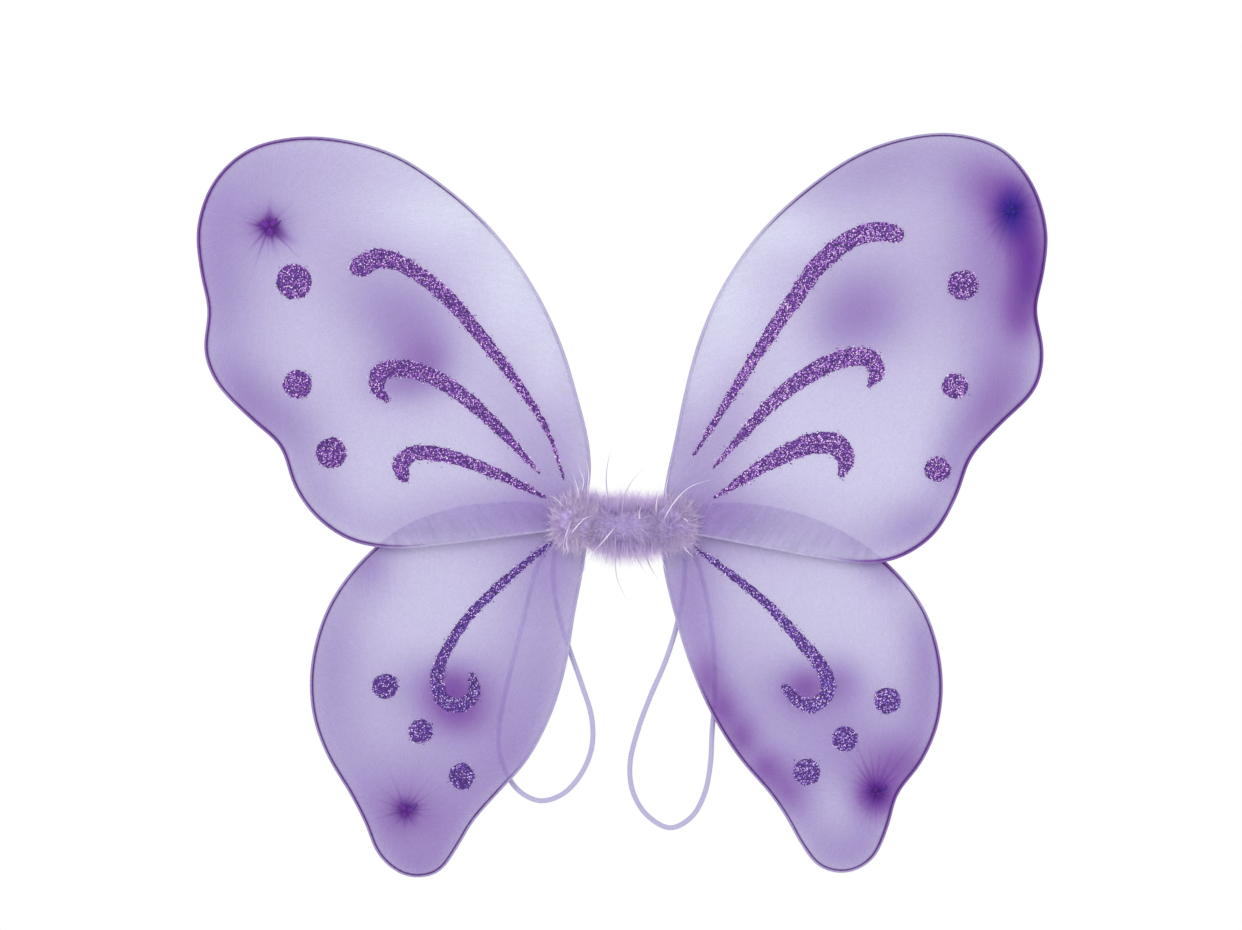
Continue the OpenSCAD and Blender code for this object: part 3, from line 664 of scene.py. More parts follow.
def membrane(wing, seed):
    """Nylon stretched over the wire in two layers that meet round its outside."""
    layer = WINGS[wing][1]
    rim = RIMS[wing]
    knot = knot_of(wing)
    angle = np.unwrap(np.arctan2(rim[:, 1] - knot[1], rim[:, 0] - knot[0]))
    if angle[-1] < angle[0]:
        rim = rim[::-1]
        angle = np.unwrap(np.arctan2(rim[:, 1] - knot[1], rim[:, 0] - knot[0]))
    weight = 0.5 * (angle - angle[0]) / TAU + 0.5 * np.arange(len(rim)) / len(rim)
    weight = np.maximum.accumulate(weight + np.arange(len(rim)) * 1e-9)
    pick = np.interp(np.arange(LOOP_POINTS) / LOOP_POINTS, weight, np.arange(len(rim)))
    edge = np.stack([np.interp(pick, np.arange(len(rim)), rim[:, k]) for k in range(2)], axis=1)
    out = outward(edge)
    from_knot = unit(edge - knot)
    inner = knot + KNOT_R * from_knot
    part = ring_places(RING_POINTS)[:, None, None]
    flat = edge[None] + (inner - edge)[None] * part
    x, z = flat[..., 0], flat[..., 1]
    depth = nearest(flat.reshape(-1, 2), rim[::2]).reshape(x.shape)
    depth[0] = 0
    rho = np.hypot(x - knot[0], z - knot[1])
    theta = np.arctan2(z - knot[1], x - knot[0])
    rng = np.random.default_rng(seed)
    a, b, c = rng.uniform(0, TAU, 3)
    pleat = 0.6 * np.cos(19 * theta + a + 0.8 * np.sin(3 * theta)) + 0.4 * np.cos(31 * theta + b)
    to_root = np.hypot(np.abs(x) - 20, z)
    root_angle = np.arctan2(z, np.abs(x) - 14)
    root_pleat = np.cos(26 * root_angle + c)
    middle = layer_y(x, layer)
    gap = half_gap(depth)
    inner_part = np.minimum(depth / 4.0, 1.0)
    ripple = inner_part * (0.42 * np.exp(-rho / 11.0) * pleat + 0.22 * np.exp(-to_root / 26.0) * root_pleat)
    lift = 1.9 * np.exp(-(rho - KNOT_R) / 1.9) * inner_part
    front = np.stack([x, middle - gap - lift - ripple, z], axis=-1)
    back = np.stack([x, middle + gap + 0.6 * ripple, z], axis=-1)
    turn = np.linspace(math.pi / 2, -math.pi / 2, 9)[1:-1]
    wrap = []
    for t in turn:
        p = edge + RIM_R * math.cos(t) * out
        wrap.append(np.stack([p[:, 0], layer_y(p[:, 0], layer) - RIM_R * math.sin(t), p[:, 1]], axis=1))
    rows = [*front[::-1], *wrap, *back]
    points = np.concatenate(rows)
    count = len(rows)
    faces = grid_faces(count, LOOP_POINTS)
    first = len(points)
    tip = np.array([[knot[0], front[-1, :, 1].mean(), knot[1]], [knot[0], back[-1, :, 1].mean(), knot[1]]])
    last = (count - 1) * LOOP_POINTS
    for j in range(LOOP_POINTS):
        n = (j + 1) % LOOP_POINTS
        faces.append((first, n, j))
        faces.append((first + 1, last + j, last + n))
    points = np.vstack([points, tip])
    depths = np.concatenate([depth[::-1].ravel(), np.full(len(turn) * LOOP_POINTS, -0.6), depth.ravel(),
                             [20, 20]])
    tint, threads = nylon_look(wing, points, depths, rng)
    piece = make_object(wing + "_nylon", points, faces, GAUZE, tint, threads)
    place_piece(piece, wing + "_wing", "gauze", wing + "_cover")


# The rim nearer the middle than this is left out, where the wire's two tails run instead
TAIL_X = 24
TAIL_Z = 4.5


def wire(wing):
    """The bent wire in a wing, with its two tails."""
    side, layer = WINGS[wing]
    rim = RIMS[wing]
    out = outward(rim)
    far = (np.abs(rim[:, 0]) > TAIL_X) | (np.abs(rim[:, 1]) > TAIL_Z)
    start = int(np.argmin(np.abs(rim[:, 0]) + 0.01 * np.abs(rim[:, 1])))
    order = np.roll(np.arange(len(rim)), -start)
    order = order[far[order]]
    line, normal = rim[order], out[order]
    sign = 1 if line[0, 1] > 0 else -1
    tail_in = np.array([[side * 18.0, sign * 1.4], [side * 20.0, sign * 1.4], [side * 22.0, sign * 1.6]])
    tail_out = tail_in[::-1] * [1, -1]
    tail_normal = np.array([[0.0, sign * 1.0]] * 3)
    line = np.vstack([tail_in, line, tail_out])
    normal = np.vstack([tail_normal, normal, tail_normal * [1, -1]])
    both = evenly(np.hstack([line, normal * 0.001]), 1.2)
    for _ in range(2):
        both[1:-1] = 0.25 * both[:-2] + 0.5 * both[1:-1] + 0.25 * both[2:]
    line, normal = both[:, :2], unit(both[:, 2:])
    sides = 14
    turn = np.arange(sides) * TAU / sides
    middle = np.stack([line[:, 0], layer_y(line[:, 0], layer), line[:, 1]], axis=1)
    across = np.stack([normal[:, 0], 0 * normal[:, 0], normal[:, 1]], axis=1)
    forward = np.array([0.0, -1.0, 0.0])
    run = np.arange(len(line))[:, None, None]
    r = WIRE_R * (1 + 0.012 * np.sin(run * 0.9) * np.cos(run * 0.37))
    points = middle[:, None] + r * (np.cos(turn)[None, :, None] * across[:, None]
                                    + np.sin(turn)[None, :, None] * forward)
    dark = rim_dye_and_shade(wing, line[:, 0], line[:, 1])[:, None]
    # The side of the wire that faces into the wing is darker: painted shade, deepened by dye where the rim is
    # dyed or stained
    inside = np.clip(0.35 - 1.6 * np.cos(turn)[None], 0, 1) * dark
    pale, stain_and_shade_colour = linear((226, 222, 238)), linear((38, 14, 72))
    stain = rim_stain(wing, line[:, 0], line[:, 1])[:, None]
    tint = pale + (stain_and_shade_colour - pale) * np.maximum(0.25 * dark + 0.72 * inside, 0.85 * stain)[..., None]
    piece = make_object(wing + "_wire", points.reshape(-1, 3), tube_faces(len(line), sides), WIRE,
                        tint.reshape(-1, 3))
    place_piece(piece, wing + "_wing", "wire", wing + "_frame")


for number, wing in enumerate(WINGS):
    membrane(wing, NYLON_SEED + number)
    wire(wing)

# ---------------------------------------------------------------- glitter


def inside_loop(points, loop):
    """Which points lie inside a closed outline."""
    x, z = points[:, 0], points[:, 1]
    hit = np.zeros(len(points), bool)
    for (ax, az), (bx, bz) in zip(loop, np.roll(loop, -1, axis=0)):
        if az != bz:
            cross = ((az > z) != (bz > z)) & (x < (bx - ax) * (z - az) / (bz - az) + ax)
            hit ^= cross
    return hit


# Colours of the flakes from the darkest to the palest, the palest standing partly for painted glints, and how
# the share of flakes adds up over them
FLAKE_COLOURS = {
    1: [(60, 6, 104), (120, 42, 168), (180, 106, 224), (222, 170, 252), (244, 216, 255)],
    -1: [(44, 6, 104), (90, 38, 168), (148, 102, 228), (198, 166, 254), (232, 212, 255)],
}
FLAKE_SHARES = {
    "upper_left": [0.45, 0.59, 0.74, 0.90, 1.0], "upper_right": [0.41, 0.53, 0.67, 0.85, 1.0],
    "lower_left": [0.56, 0.67, 0.78, 0.91, 1.0], "lower_right": [0.46, 0.57, 0.70, 0.86, 1.0],
}
FLAKES_PER_MM2 = 2.6
FLAKE_R = (0.24, 0.46)
FLAKE_TIPPED = 0.36
FLAKE_FACES = [face for k in range(6) for face in ((k, (k + 1) % 6, 6), ((k + 1) % 6, k, 7))]
GLUE_GRID = 0.95


def glue_bed(loop, rim, layer, rng):
    """Raised glue with a rough top, inside an outline: its points and faces."""
    low, high = loop.min(axis=0), loop.max(axis=0)
    gx, gz = np.meshgrid(np.arange(low[0], high[0], GLUE_GRID), np.arange(low[1], high[1], GLUE_GRID))
    spots = np.stack([gx.ravel(), gz.ravel()], axis=1)
    spots = spots + rng.uniform(-0.25, 0.25, spots.shape)
    spots = spots[inside_loop(spots, loop)]
    spots = spots[nearest(spots, loop) > 0.6]
    flat = np.vstack([loop, spots])
    plane, _, triangles, *_ = delaunay_2d_cdt([tuple(p) for p in flat], [], [list(range(len(loop)))], 1, 1e-6)
    plane = np.array([tuple(v) for v in plane])
    rough = rng.uniform(0, 1, len(plane))
    height = 0.10 + np.minimum(nearest(plane, loop) / 1.6, 1.0) * (0.30 + 0.20 * rough)
    ground = layer_y(plane[:, 0], layer) - half_gap(nearest(plane, rim))
    top = np.stack([plane[:, 0], ground - height, plane[:, 1]], axis=1)
    bottom = np.stack([plane[:, 0], ground - 0.02, plane[:, 1]], axis=1)
    n = len(plane)
    faces = []
    used = {}
    for a, b, c in triangles:
        for side in ((a, b), (b, c), (c, a)):
            used[tuple(sorted(side))] = used.get(tuple(sorted(side)), 0) + 1
        area = ((plane[b][0] - plane[a][0]) * (plane[c][1] - plane[a][1])
                - (plane[c][0] - plane[a][0]) * (plane[b][1] - plane[a][1]))
        if area < 0:
            b, c = c, b
        faces += [(a, b, c), (n + a, n + c, n + b)]
    faces += [(a, b, n + b, n + a) for (a, b), times in used.items() if times == 1]
    return np.vstack([top, bottom]), faces


def flake(place, wing, rng):
    """One six-sided flake, tipped some way, with a low point on each of its two faces."""
    r = rng.uniform(*FLAKE_R)
    facing = np.array([rng.normal(0, FLAKE_TIPPED), -1.0, rng.normal(0, FLAKE_TIPPED)])
    facing /= np.linalg.norm(facing)
    u = np.cross(facing, [0.0, 0.0, 1.0])
    u /= np.linalg.norm(u)
    v = np.cross(facing, u)
    a = rng.uniform(0, TAU) + np.arange(6) * TAU / 6
    ring = place + r * (np.cos(a)[:, None] * u + np.sin(a)[:, None] * v)
    colour = FLAKE_COLOURS[WINGS[wing][1]][int(np.searchsorted(FLAKE_SHARES[wing], rng.uniform()))]
    tint = np.clip(linear(colour) * rng.uniform(0.85, 1.2), 0, 1)
    points = np.vstack([ring, place + 0.05 * facing, place - 0.05 * facing])
    return points, FLAKE_FACES, np.repeat(tint[None], len(points), axis=0)


def glitter(node, wing, seed):
    """Raised glue strewn with flakes, on the front of a wing."""
    layer = WINGS[wing][1]
    rng = np.random.default_rng(seed)
    rim = RIMS[wing][::4]
    beds, flakes = [], []
    for loop in front_outlines(node):
        loop = smooth_ring(evenly(loop, 0.9, closed=True), 1.2)
        wobble = smooth_ring(rng.normal(0, 1.0, (len(loop), 1)), 0.9)
        loop = loop + outward(loop) * (0.35 * wobble - 0.1)
        beds.append(glue_bed(loop, rim, layer, rng))
        low, high = loop.min(axis=0), loop.max(axis=0)
        tries = rng.uniform(low - 0.8, high + 0.8, (int(np.prod(high - low) * FLAKES_PER_MM2), 2))
        within = inside_loop(tries, loop)
        off = nearest(tries, loop)
        keep = within | (rng.uniform(0, 1, len(tries)) < 0.55 * np.exp(-off / 0.45))
        tries, within, off = tries[keep], within[keep], off[keep]
        ground = layer_y(tries[:, 0], layer) - half_gap(nearest(tries, rim))
        lift = np.where(within, 0.16 + np.minimum(off / 1.6, 1.0) * 0.42, 0.06)
        for (x, z), y in zip(tries, ground - lift):
            flakes.append(flake(np.array([x, y, z]), wing, rng))
    place_piece(make_object(node + "_glue", *joined(beds), GLUE), wing + "_wing", "glitter", node)
    points, faces, tints = joined(flakes)
    sparkle = make_object(node + "_flakes", points, faces, GLITTER, tints, smooth=False)
    place_piece(sparkle, wing + "_wing", "glitter")


seed = GLITTER_SEED
for wing, (_, layer) in WINGS.items():
    marks = ["long_stroke", "middle_stroke", "short_stroke", "dots"] if layer > 0 else ["stroke", "dots"]
    for mark in marks:
        glitter(wing + "_" + mark, wing, seed)
        seed += 1

# ---------------------------------------------------------------- gathered knots


def stand(wing, knot, out):
    """Places on the front of a wing: out[:, 0:2] across and up, out[:, 2] the height off the nylon."""
    layer = WINGS[wing][1]
    turn = math.asin(knot[0] / BOW_RADIUS)
    base = layer_y(knot[0], layer) - 0.75
    x = knot[0] + out[:, 0] * math.cos(turn) - out[:, 2] * math.sin(turn)
    y = base - out[:, 0] * math.sin(turn) - out[:, 2] * math.cos(turn)
    return np.stack([x, y, knot[1] + out[:, 1]], axis=1)


# Colours of each knot's folds, the shaded and the lit: painted shade in the creases and painted light on the
# ridges
VIOLET_KNOT = (74, 22, 118), (128, 66, 176)
BLUE_KNOT = (40, 28, 130), (80, 60, 172)
KNOT_SIZE = {"upper_left": 1.2, "upper_right": 0.66, "lower_left": 0.95, "lower_right": 0.66}


def rosette(wing, seed):
    """Nylon drawn together and tied: a pleated skirt, a waist and a crumpled end."""
    rng = np.random.default_rng(seed)
    knot = knot_of(wing)
    low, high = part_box(wing + "_gather")
    r = (high[2] - low[2]) / 2 / MM * KNOT_SIZE[wing]
    around, up = 120, 46
    th = np.arange(around) * TAU / around
    t = np.linspace(0, 1, up)
    height = 5.6 * t
    radius = np.interp(t, [0, 0.1, 0.24, 0.36, 0.48, 0.62, 0.78, 0.92, 1.0],
                       [r * 0.8, r * 0.62, r * 0.42, 1.7, 1.7, r * 0.46, r * 0.56, r * 0.38, 0.15])
    deep = np.interp(t, [0, 0.12, 0.36, 0.5, 0.75, 1.0], [0.40, 0.30, 0.10, 0.2, 0.55, 0.3])
    a, b, c, d = rng.uniform(0, TAU, 4)
    twist = 0.25 * np.sin(5 * t[:, None] * 3 + d)
    fold = (0.25 * np.cos(9 * (th + twist) + a) + 0.15 * np.cos(14 * (th - twist) + b)
            + 0.6 * np.cos(3 * th + c))
    rr = radius[:, None] * (1 + deep[:, None] * fold)
    zz = height[:, None] + 0.35 * np.sin(4 * th + b) * (t[:, None] ** 2)
    zz = np.where(t[:, None] < 0.02, -0.25, zz)
    points = np.stack([rr * np.cos(th), rr * np.sin(th), zz], axis=-1).reshape(-1, 3)
    points = stand(wing, knot, points)
    # Folds that sink in are darker and those that stand out lighter: painted shade and light on the knot's
    # own colour
    deepest, lit = [linear(c) for c in (BLUE_KNOT if wing == "upper_right" else VIOLET_KNOT)]
    mix = np.clip(0.45 + 0.5 * fold * np.ones_like(rr), 0, 1)[..., None]
    tint = (deepest + (lit - deepest) * mix * (0.2 if "right" in wing else 0.6)).reshape(-1, 3)
    piece = make_object(wing + "_rosette", points, tube_faces(up, around), BUNCHED, tint)
    place_piece(piece, wing + "_wing", "dark_gauze", wing + "_gather")


def tube_along(path, r, sides):
    """Points and faces of a round tube on a line of points."""
    ahead = unit(np.gradient(path, axis=0))
    helper = np.array([0.0, 0.2, 1.0]) if abs(ahead[0][2]) < 0.9 else np.array([0.0, 1.0, 0.2])
    u = unit(np.cross(ahead[0], helper))
    points = []
    for p, d in zip(path, ahead):
        u = u - d * np.dot(u, d)
        u = u / np.linalg.norm(u)
        v = np.cross(d, u)
        a = np.arange(sides) * TAU / sides
        points.append(p + r * (np.cos(a)[:, None] * u + np.sin(a)[:, None] * v))
    return np.vstack(points), tube_faces(len(path), sides)


def knot_thread(wing, seed):
    """Thread wound round a knot's waist, with a cut end."""
    rng = np.random.default_rng(seed)
    knot = knot_of(wing)
    turns = 4
    a = np.linspace(0, TAU * turns, 40 * turns)
    r = 2.05 + 0.12 * np.sin(a * 0.37 + rng.uniform(0, TAU))
    up = 2.0 + 0.28 * np.sin(a / turns / 2 * 3) + 0.12 * np.sin(a * 1.3)
    coil = np.stack([r * np.cos(a), r * np.sin(a), up], axis=1)
    tail = np.array([[2.9, 1.0, 0.1], [3.8, 2.2, -0.5], [4.3, 3.6, -0.9]])
    points, faces = tube_along(np.vstack([coil, coil[-1] + tail]), 0.28, 8)
    piece = make_object(wing + "_knot_thread", stand(wing, knot, points), faces, DARK_THREAD)
    place_piece(piece, wing + "_wing", "thread", wing + "_gather_tie")


def root_thread(wing):
    """Thread wound round the neck of a wing's nylon, over the two wire tails."""
    low, high = [np.array(corner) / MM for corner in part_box(wing + "_root_tie")]
    half_y, half_z = (high - low)[1:] / 2 - 0.25
    middle_y = (high[1] + low[1]) / 2
    x0, x1 = low[0] + 0.25, high[0] - 0.25
    turns = 4
    a = np.linspace(0, TAU * turns, 44 * turns)
    squared = (np.abs(np.cos(a)) ** 4 + np.abs(np.sin(a)) ** 4) ** -0.25
    path = np.stack([x0 + (x1 - x0) * a / a[-1], middle_y + half_y * squared * np.cos(a),
                     half_z * squared * np.sin(a)], axis=1)
    points, faces = tube_along(path, 0.24, 8)
    piece = make_object(wing + "_root_thread", points, faces, PALE_THREAD)
    place_piece(piece, wing + "_wing", "thread", wing + "_root_tie")


for number, wing in enumerate(WINGS):
    rosette(wing, KNOT_SEED + number)
    knot_thread(wing, THREAD_SEED + number)
    root_thread(wing)

# ---------------------------------------------------------------- feather trim

BARB_ROOT = (216, 194, 255)
BARB_MIDDLE = (234, 214, 255)
BARB_TIP = (248, 238, 255)
BACK_LIMIT = 7.0
WRAP_BARBS, BACK_BARBS, TUFT_BARBS = 8000, 6500, 3300
TUFT_X = 30.0
WISP_R, LONG_WISP_R = 0.34, 0.38


def rise(x):
    """Height of the trim's middle line along its length: it sags between the wings."""
    t = np.clip(np.asarray(x) / 40, -1, 1)
    return -1.4 * np.cos(1.5 * math.pi * t) - 0.9 * np.sin(math.pi * t)


def groove(x, up):
    """How the twisted trim swells and sinks along its length, from -1 in a groove to 1 on a ridge."""
    return 0.7 * np.sin(0.27 * x + 0.20 * up - 0.9) + 0.3 * np.sin(0.61 * x - 0.17 * up + 2.0)


def barbs(starts, aims, lengths, bends, widths, light):
    """Tapered three-sided barbs from starts along aims, each curving by its own bend."""
    count, steps = len(starts), 4
    aims = unit(aims)
    side = unit(np.cross(aims, bends) + 1e-6)
    t = np.linspace(0, 1, steps)
    points = np.zeros((count, (steps - 1) * 3 + 1, 3))
    tint = np.ones((count, (steps - 1) * 3 + 1, 3))
    root, middle, tip = linear(BARB_ROOT), linear(BARB_MIDDLE), linear(BARB_TIP)
    for k in range(steps):
        at = starts + lengths[:, None] * (aims * t[k] + bends * t[k] ** 2)
        shade = root + (middle - root) * min(t[k] * 2, 1) + (tip - middle) * max(t[k] * 2 - 1, 0)
        shade = np.clip(shade * light[:, None], 0, 0.96)
        ahead = unit(aims + 2 * bends * t[k])
        v = unit(np.cross(ahead, side))
        w = widths * (1 - 0.75 * t[k] ** 1.5)
        if k == steps - 1:
            points[:, -1] = at
            tint[:, -1] = shade
            continue
        for s in range(3):
            a = s * TAU / 3
            points[:, k * 3 + s] = at + w[:, None] * (math.cos(a) * side + math.sin(a) * v)
            tint[:, k * 3 + s] = shade
    one = [(0, 2, 1)]
    for k in range(steps - 2):
        for s in range(3):
            a, b = k * 3 + s, k * 3 + (s + 1) % 3
            one += [(a, b, b + 3), (a, b + 3, a + 3)]
    top = (steps - 2) * 3
    for s in range(3):
        one.append((top + s, top + (s + 1) % 3, (steps - 1) * 3))
    size = (steps - 1) * 3 + 1
    faces = (np.arange(count)[:, None, None] * size + np.array(one)[None]).reshape(-1, 3)
    return points.reshape(-1, 3), faces.tolist(), tint.reshape(-1, 3)


def clumped(rng, starts, normals, reach, spread, clump, lean=None):
    """Aims and bends that draw neighbouring barbs together into soft tufts."""
    number = len(starts) // 50
    seeds = starts[rng.integers(0, len(starts), number)]
    loose = starts + rng.normal(0, clump * 0.25, starts.shape)
    which = np.concatenate([np.linalg.norm(part[:, None] - seeds[None], axis=2).argmin(axis=1)
                            for part in np.array_split(loose, 40)])
    swirl = rng.normal(0, 1, (number, 3))
    members = np.maximum(np.bincount(which, minlength=number), 1)
    centre = np.stack([np.bincount(which, starts[:, k], number) / members for k in range(3)], axis=1)
    to_centre = (centre[which] - starts) / reach
    aims = normals + spread * swirl[which] + rng.normal(0, 0.20, starts.shape) + 0.2 * to_centre
    if lean is not None:
        aims = aims + lean
    bends = 0.16 * swirl[which] + rng.normal(0, 0.16, starts.shape)
    bends = bends - unit(aims) * np.sum(bends * unit(aims), axis=1, keepdims=True)
    shade = rng.uniform(0.88, 1.06, number)[which] * rng.uniform(0.9, 1.04, len(starts))
    # Barbs in the trim's grooves are darker and those on its ridges lighter: painted shade
    shade *= 1 + 0.10 * groove(starts[:, 0], starts[:, 2])
    return unit(aims), bends, shade


def locks(rng, places, aims, reach, count=16, width=0.09):
    """Barbs drawn together at their tips into pointed locks."""
    starts, ends = [], []
    for place, aim in zip(places, unit(np.asarray(aims, float))):
        long = reach * rng.uniform(0.7, 1.25)
        tip = place + aim * long
        starts.append(place + rng.normal(0, 1.3, (count, 3)))
        ends.append(tip + rng.normal(0, 0.45, (count, 3)) - aim * rng.uniform(0, 0.35 * long, (count, 1)))
    starts, ends = np.vstack(starts), np.vstack(ends)
    length = np.linalg.norm(ends - starts, axis=1)
    bends = rng.normal(0, 0.05, starts.shape)
    return barbs(starts, (ends - starts) - bends * length[:, None], length, bends,
                 width * rng.uniform(0.8, 1.2, len(starts)), rng.uniform(1.0, 1.06, len(starts)))


def add_barbs(name, parts, body, *nodes):
    """One piece made of barbs, wisps and matted bodies."""
    points, faces, tints = joined(parts)
    place_piece(make_object(name, points, faces, MARABOU, tints), body, "marabou", *nodes)


def wisp(points, width, colour):
    """One long loose barb along a smooth line, tapering to both ends."""
    path = evenly(curve(points, 12), 1.0)
    tube, faces = tube_along(path, 1.0, 3)
    t = np.repeat(np.linspace(0, 1, len(path)), 3)
    middle = np.repeat(path, 3, axis=0)
    w = width * np.clip(np.minimum(t * 8, (1 - t) * 1.6), 0.12, 1)[:, None]
    tube = middle + (tube - middle) * w
    return tube, faces, np.repeat(linear(colour)[None], len(tube), axis=0)


def matted_body(centre, radii, seed, shade, square=1.0):
    """A closed, softly tufted body of matted down that the barbs lie on."""
    around, up = 150, 84
    th = np.arange(around) * TAU / around
    ph = np.linspace(-math.pi / 2, math.pi / 2, up + 2)[1:-1]
    d = np.stack([np.outer(np.sin(ph), np.ones(around)), np.outer(np.cos(ph), np.cos(th)),
                  np.outer(np.cos(ph), np.sin(th))], axis=-1).reshape(-1, 3)
    d = np.vstack([d, [[-1, 0, 0], [1, 0, 0]]])
    body = np.sign(d) * np.abs(d) ** square * np.array(radii)
    wide = np.array([noise.noise((p * 0.17 + seed).tolist()) for p in body])
    tufts = np.array([noise.noise((p * [0.34, 0.34, 0.5] + seed).tolist()) for p in body])
    fine = np.array([noise.noise((p * 1.3 + seed).tolist()) for p in body])
    swell = 0.06 * groove(body[:, 0] + centre[0], body[:, 2])
    points = np.array(centre) + body * (1 + swell + 0.08 * wide + 0.07 * tufts + 0.03 * fine)[:, None]
    points[:, 2] += rise(points[:, 0])
    n = len(d) - 2
    faces = grid_faces(up, around)
    for j in range(around):
        m = (j + 1) % around
        faces.append((n, m, j))
        faces.append((n + 1, n - around + j, n - around + m))
    # The body is lighter where it bulges and darker where it sinks, by the same noise that shapes it: painted
    # shade
    tint = shade[None] * (1 + 0.14 * tufts + 0.12 * wide + 0.10 * fine)[:, None]
    return points, faces, np.clip(tint, 0, 0.97)


def combed(x, up):
    """Which way the down lies: away from the middle line, in slow waves along the trim."""
    return np.stack([0.30 + 0.6 * np.sin(x * 0.21 + 0.6) + 0.3 * np.sin(x * 0.53), 0 * x,
                     1.1 * np.tanh(up / 5) + 0.5 * np.sin(x * 0.30 + 2) + 0.25], axis=1)


def room_behind(start, aims, bends):
    """How long each barb can be before it stands out too far behind the trim."""
    return (BACK_LIMIT - start[:, 1]) / np.maximum(aims[:, 1] + np.maximum(bends[:, 1], 0), 0.05)


def fringe(rng, count, spread, sign, reach):
    """Long thin barbs that stand out along the top or bottom of the trim."""
    x = rng.normal(0, spread, count)
    depth = rng.uniform(-9, 3, count)
    up = rng.uniform(6, 9.5, count) + groove(x, sign * 9)
    start = np.stack([x, CORE_Y + depth, rise(x) + sign * up], axis=1)
    aims = np.stack([rng.normal(0, 0.28, count) + x / 60, rng.normal(-0.1, 0.25, count),
                     np.full(count, sign)], axis=1)
    bends = np.stack([rng.normal(0, 0.12, count), rng.normal(0, 0.05, count), 0 * x], axis=1)
    return barbs(start, aims, reach * rng.uniform(0.55, 1.3, count), bends, rng.uniform(0.05, 0.09, count),
                 rng.uniform(0.96, 1.04, count))


MATTED = linear((180, 165, 206))


def trim_wrap():
    """The front and middle of the trim: down round the core, fringed at the top and bottom."""
    rng = np.random.default_rng(WRAP_SEED)
    count = WRAP_BARBS
    x = rng.uniform(-26.5, 26.5, count)
    a = rng.uniform(0, TAU, count)
    r = rng.uniform(9.3, 10.8, count)
    normal = np.stack([0.03 * x, -np.cos(a), np.sin(a)], axis=1)
    r = r * (1 + 0.08 * groove(x, r * np.sin(a)))
    start = np.stack([x, CORE_Y - 0.96 * r * np.cos(a), rise(x) + 1.06 * r * np.sin(a)], axis=1)
    aims, bends, shade = clumped(rng, start, 0.42 * normal, 9.0, 0.14, 4.5, combed(x, start[:, 2]))
    length = rng.uniform(4.0, 7.0, count) * (1 + 0.8 * (rng.uniform(0, 1, count) > 0.88))
    length = np.minimum(length, room_behind(start, aims, bends))
    return [barbs(start, aims, length, bends, rng.uniform(0.06, 0.11, count), shade),
            fringe(rng, 2000, 12.0, -1, 13.0), fringe(rng, 2800, 13.0, 1, 11.5),
            matted_body((0.0, CORE_Y, 0.2), (29.0, 9.2, 10.8), 0.0, MATTED, 0.8)], rng


def back_roll(rng):
    """The fuller roll of down at the back of the trim, which reaches out to both wings' roots."""
    count = BACK_BARBS
    x = rng.uniform(-38.5, 38.5, count)
    a = rng.uniform(-math.pi * 0.56, math.pi * 0.56, count)
    r = rng.uniform(8.0, 10.5, count) * np.sqrt(np.clip(1 - (np.abs(x) / 44) ** 4, 0.2, 1))
    ny, nz = np.cos(a), np.sin(a)
    start = np.stack([x, CORE_Y + 7.0 + (r - 2.4) * ny * 0.9, rise(x) + 1.05 * r * nz], axis=1)
    normal = np.stack([np.sign(x) * np.clip((np.abs(x) - 28) / 10, 0, 1) * 1.2, 0.7 * ny, nz], axis=1)
    aims, bends, shade = clumped(rng, start, normal, 9.0, 0.14, 4.5, 0.8 * combed(x, start[:, 2]))
    aims[:, 1] = np.maximum(aims[:, 1], -0.05)
    aims = unit(aims)
    length = rng.uniform(4.0, 7.5, count) * (1 + 0.6 * (rng.uniform(0, 1, count) > 0.90))
    length = np.minimum(length, room_behind(start, aims, bends))
    return [barbs(start, aims, length, bends, rng.uniform(0.06, 0.12, count), shade * 0.97),
            matted_body((0.0, CORE_Y + 7.8, 0.0), (41.0, 5.4, 11.0), 5.0, MATTED, 0.72)]


parts, rng = trim_wrap()
# Wisps that stand against the white background are drawn in a greyer copy of the pale wisp colour: painted
# shade
SHADED_WISP, PALE_WISP = (186, 178, 200), (246, 241, 252)
for line, colour in (
    ([(-9, -20, 15), (-10, -24, 26), (-9, -25, 36), (-7, -24, 44)], SHADED_WISP),
    ([(-1, -24, 3), (-0.5, -29, 14), (4, -28, 24), (11, -25, 32)], SHADED_WISP),
    ([(-5, -24, -1), (-10, -28, -7), (-16, -26, -14), (-20, -24, -20)], PALE_WISP),
    ([(-5, -22, -3), (-5, -27, -16), (-4, -26, -30), (2, -22, -43.5)], SHADED_WISP),
    ([(12, -18, -16), (15, -21, -24), (19.5, -21, -31)], SHADED_WISP),
    ([(18.5, -22, 6), (18.3, -25, 11), (19.5, -25, 18), (21, -24, 24)], PALE_WISP),
    ([(9, -25, 3), (8.6, -27, 7), (9.4, -26, 10)], PALE_WISP),
    ([(3, -22, -12), (8, -26, -20), (12, -25, -27)], SHADED_WISP),
):
    parts.append(wisp(line, LONG_WISP_R, colour))
add_barbs("trim_front_down", parts, "root", "marabou_wrap")
add_barbs("trim_back_down", back_roll(rng), "root")

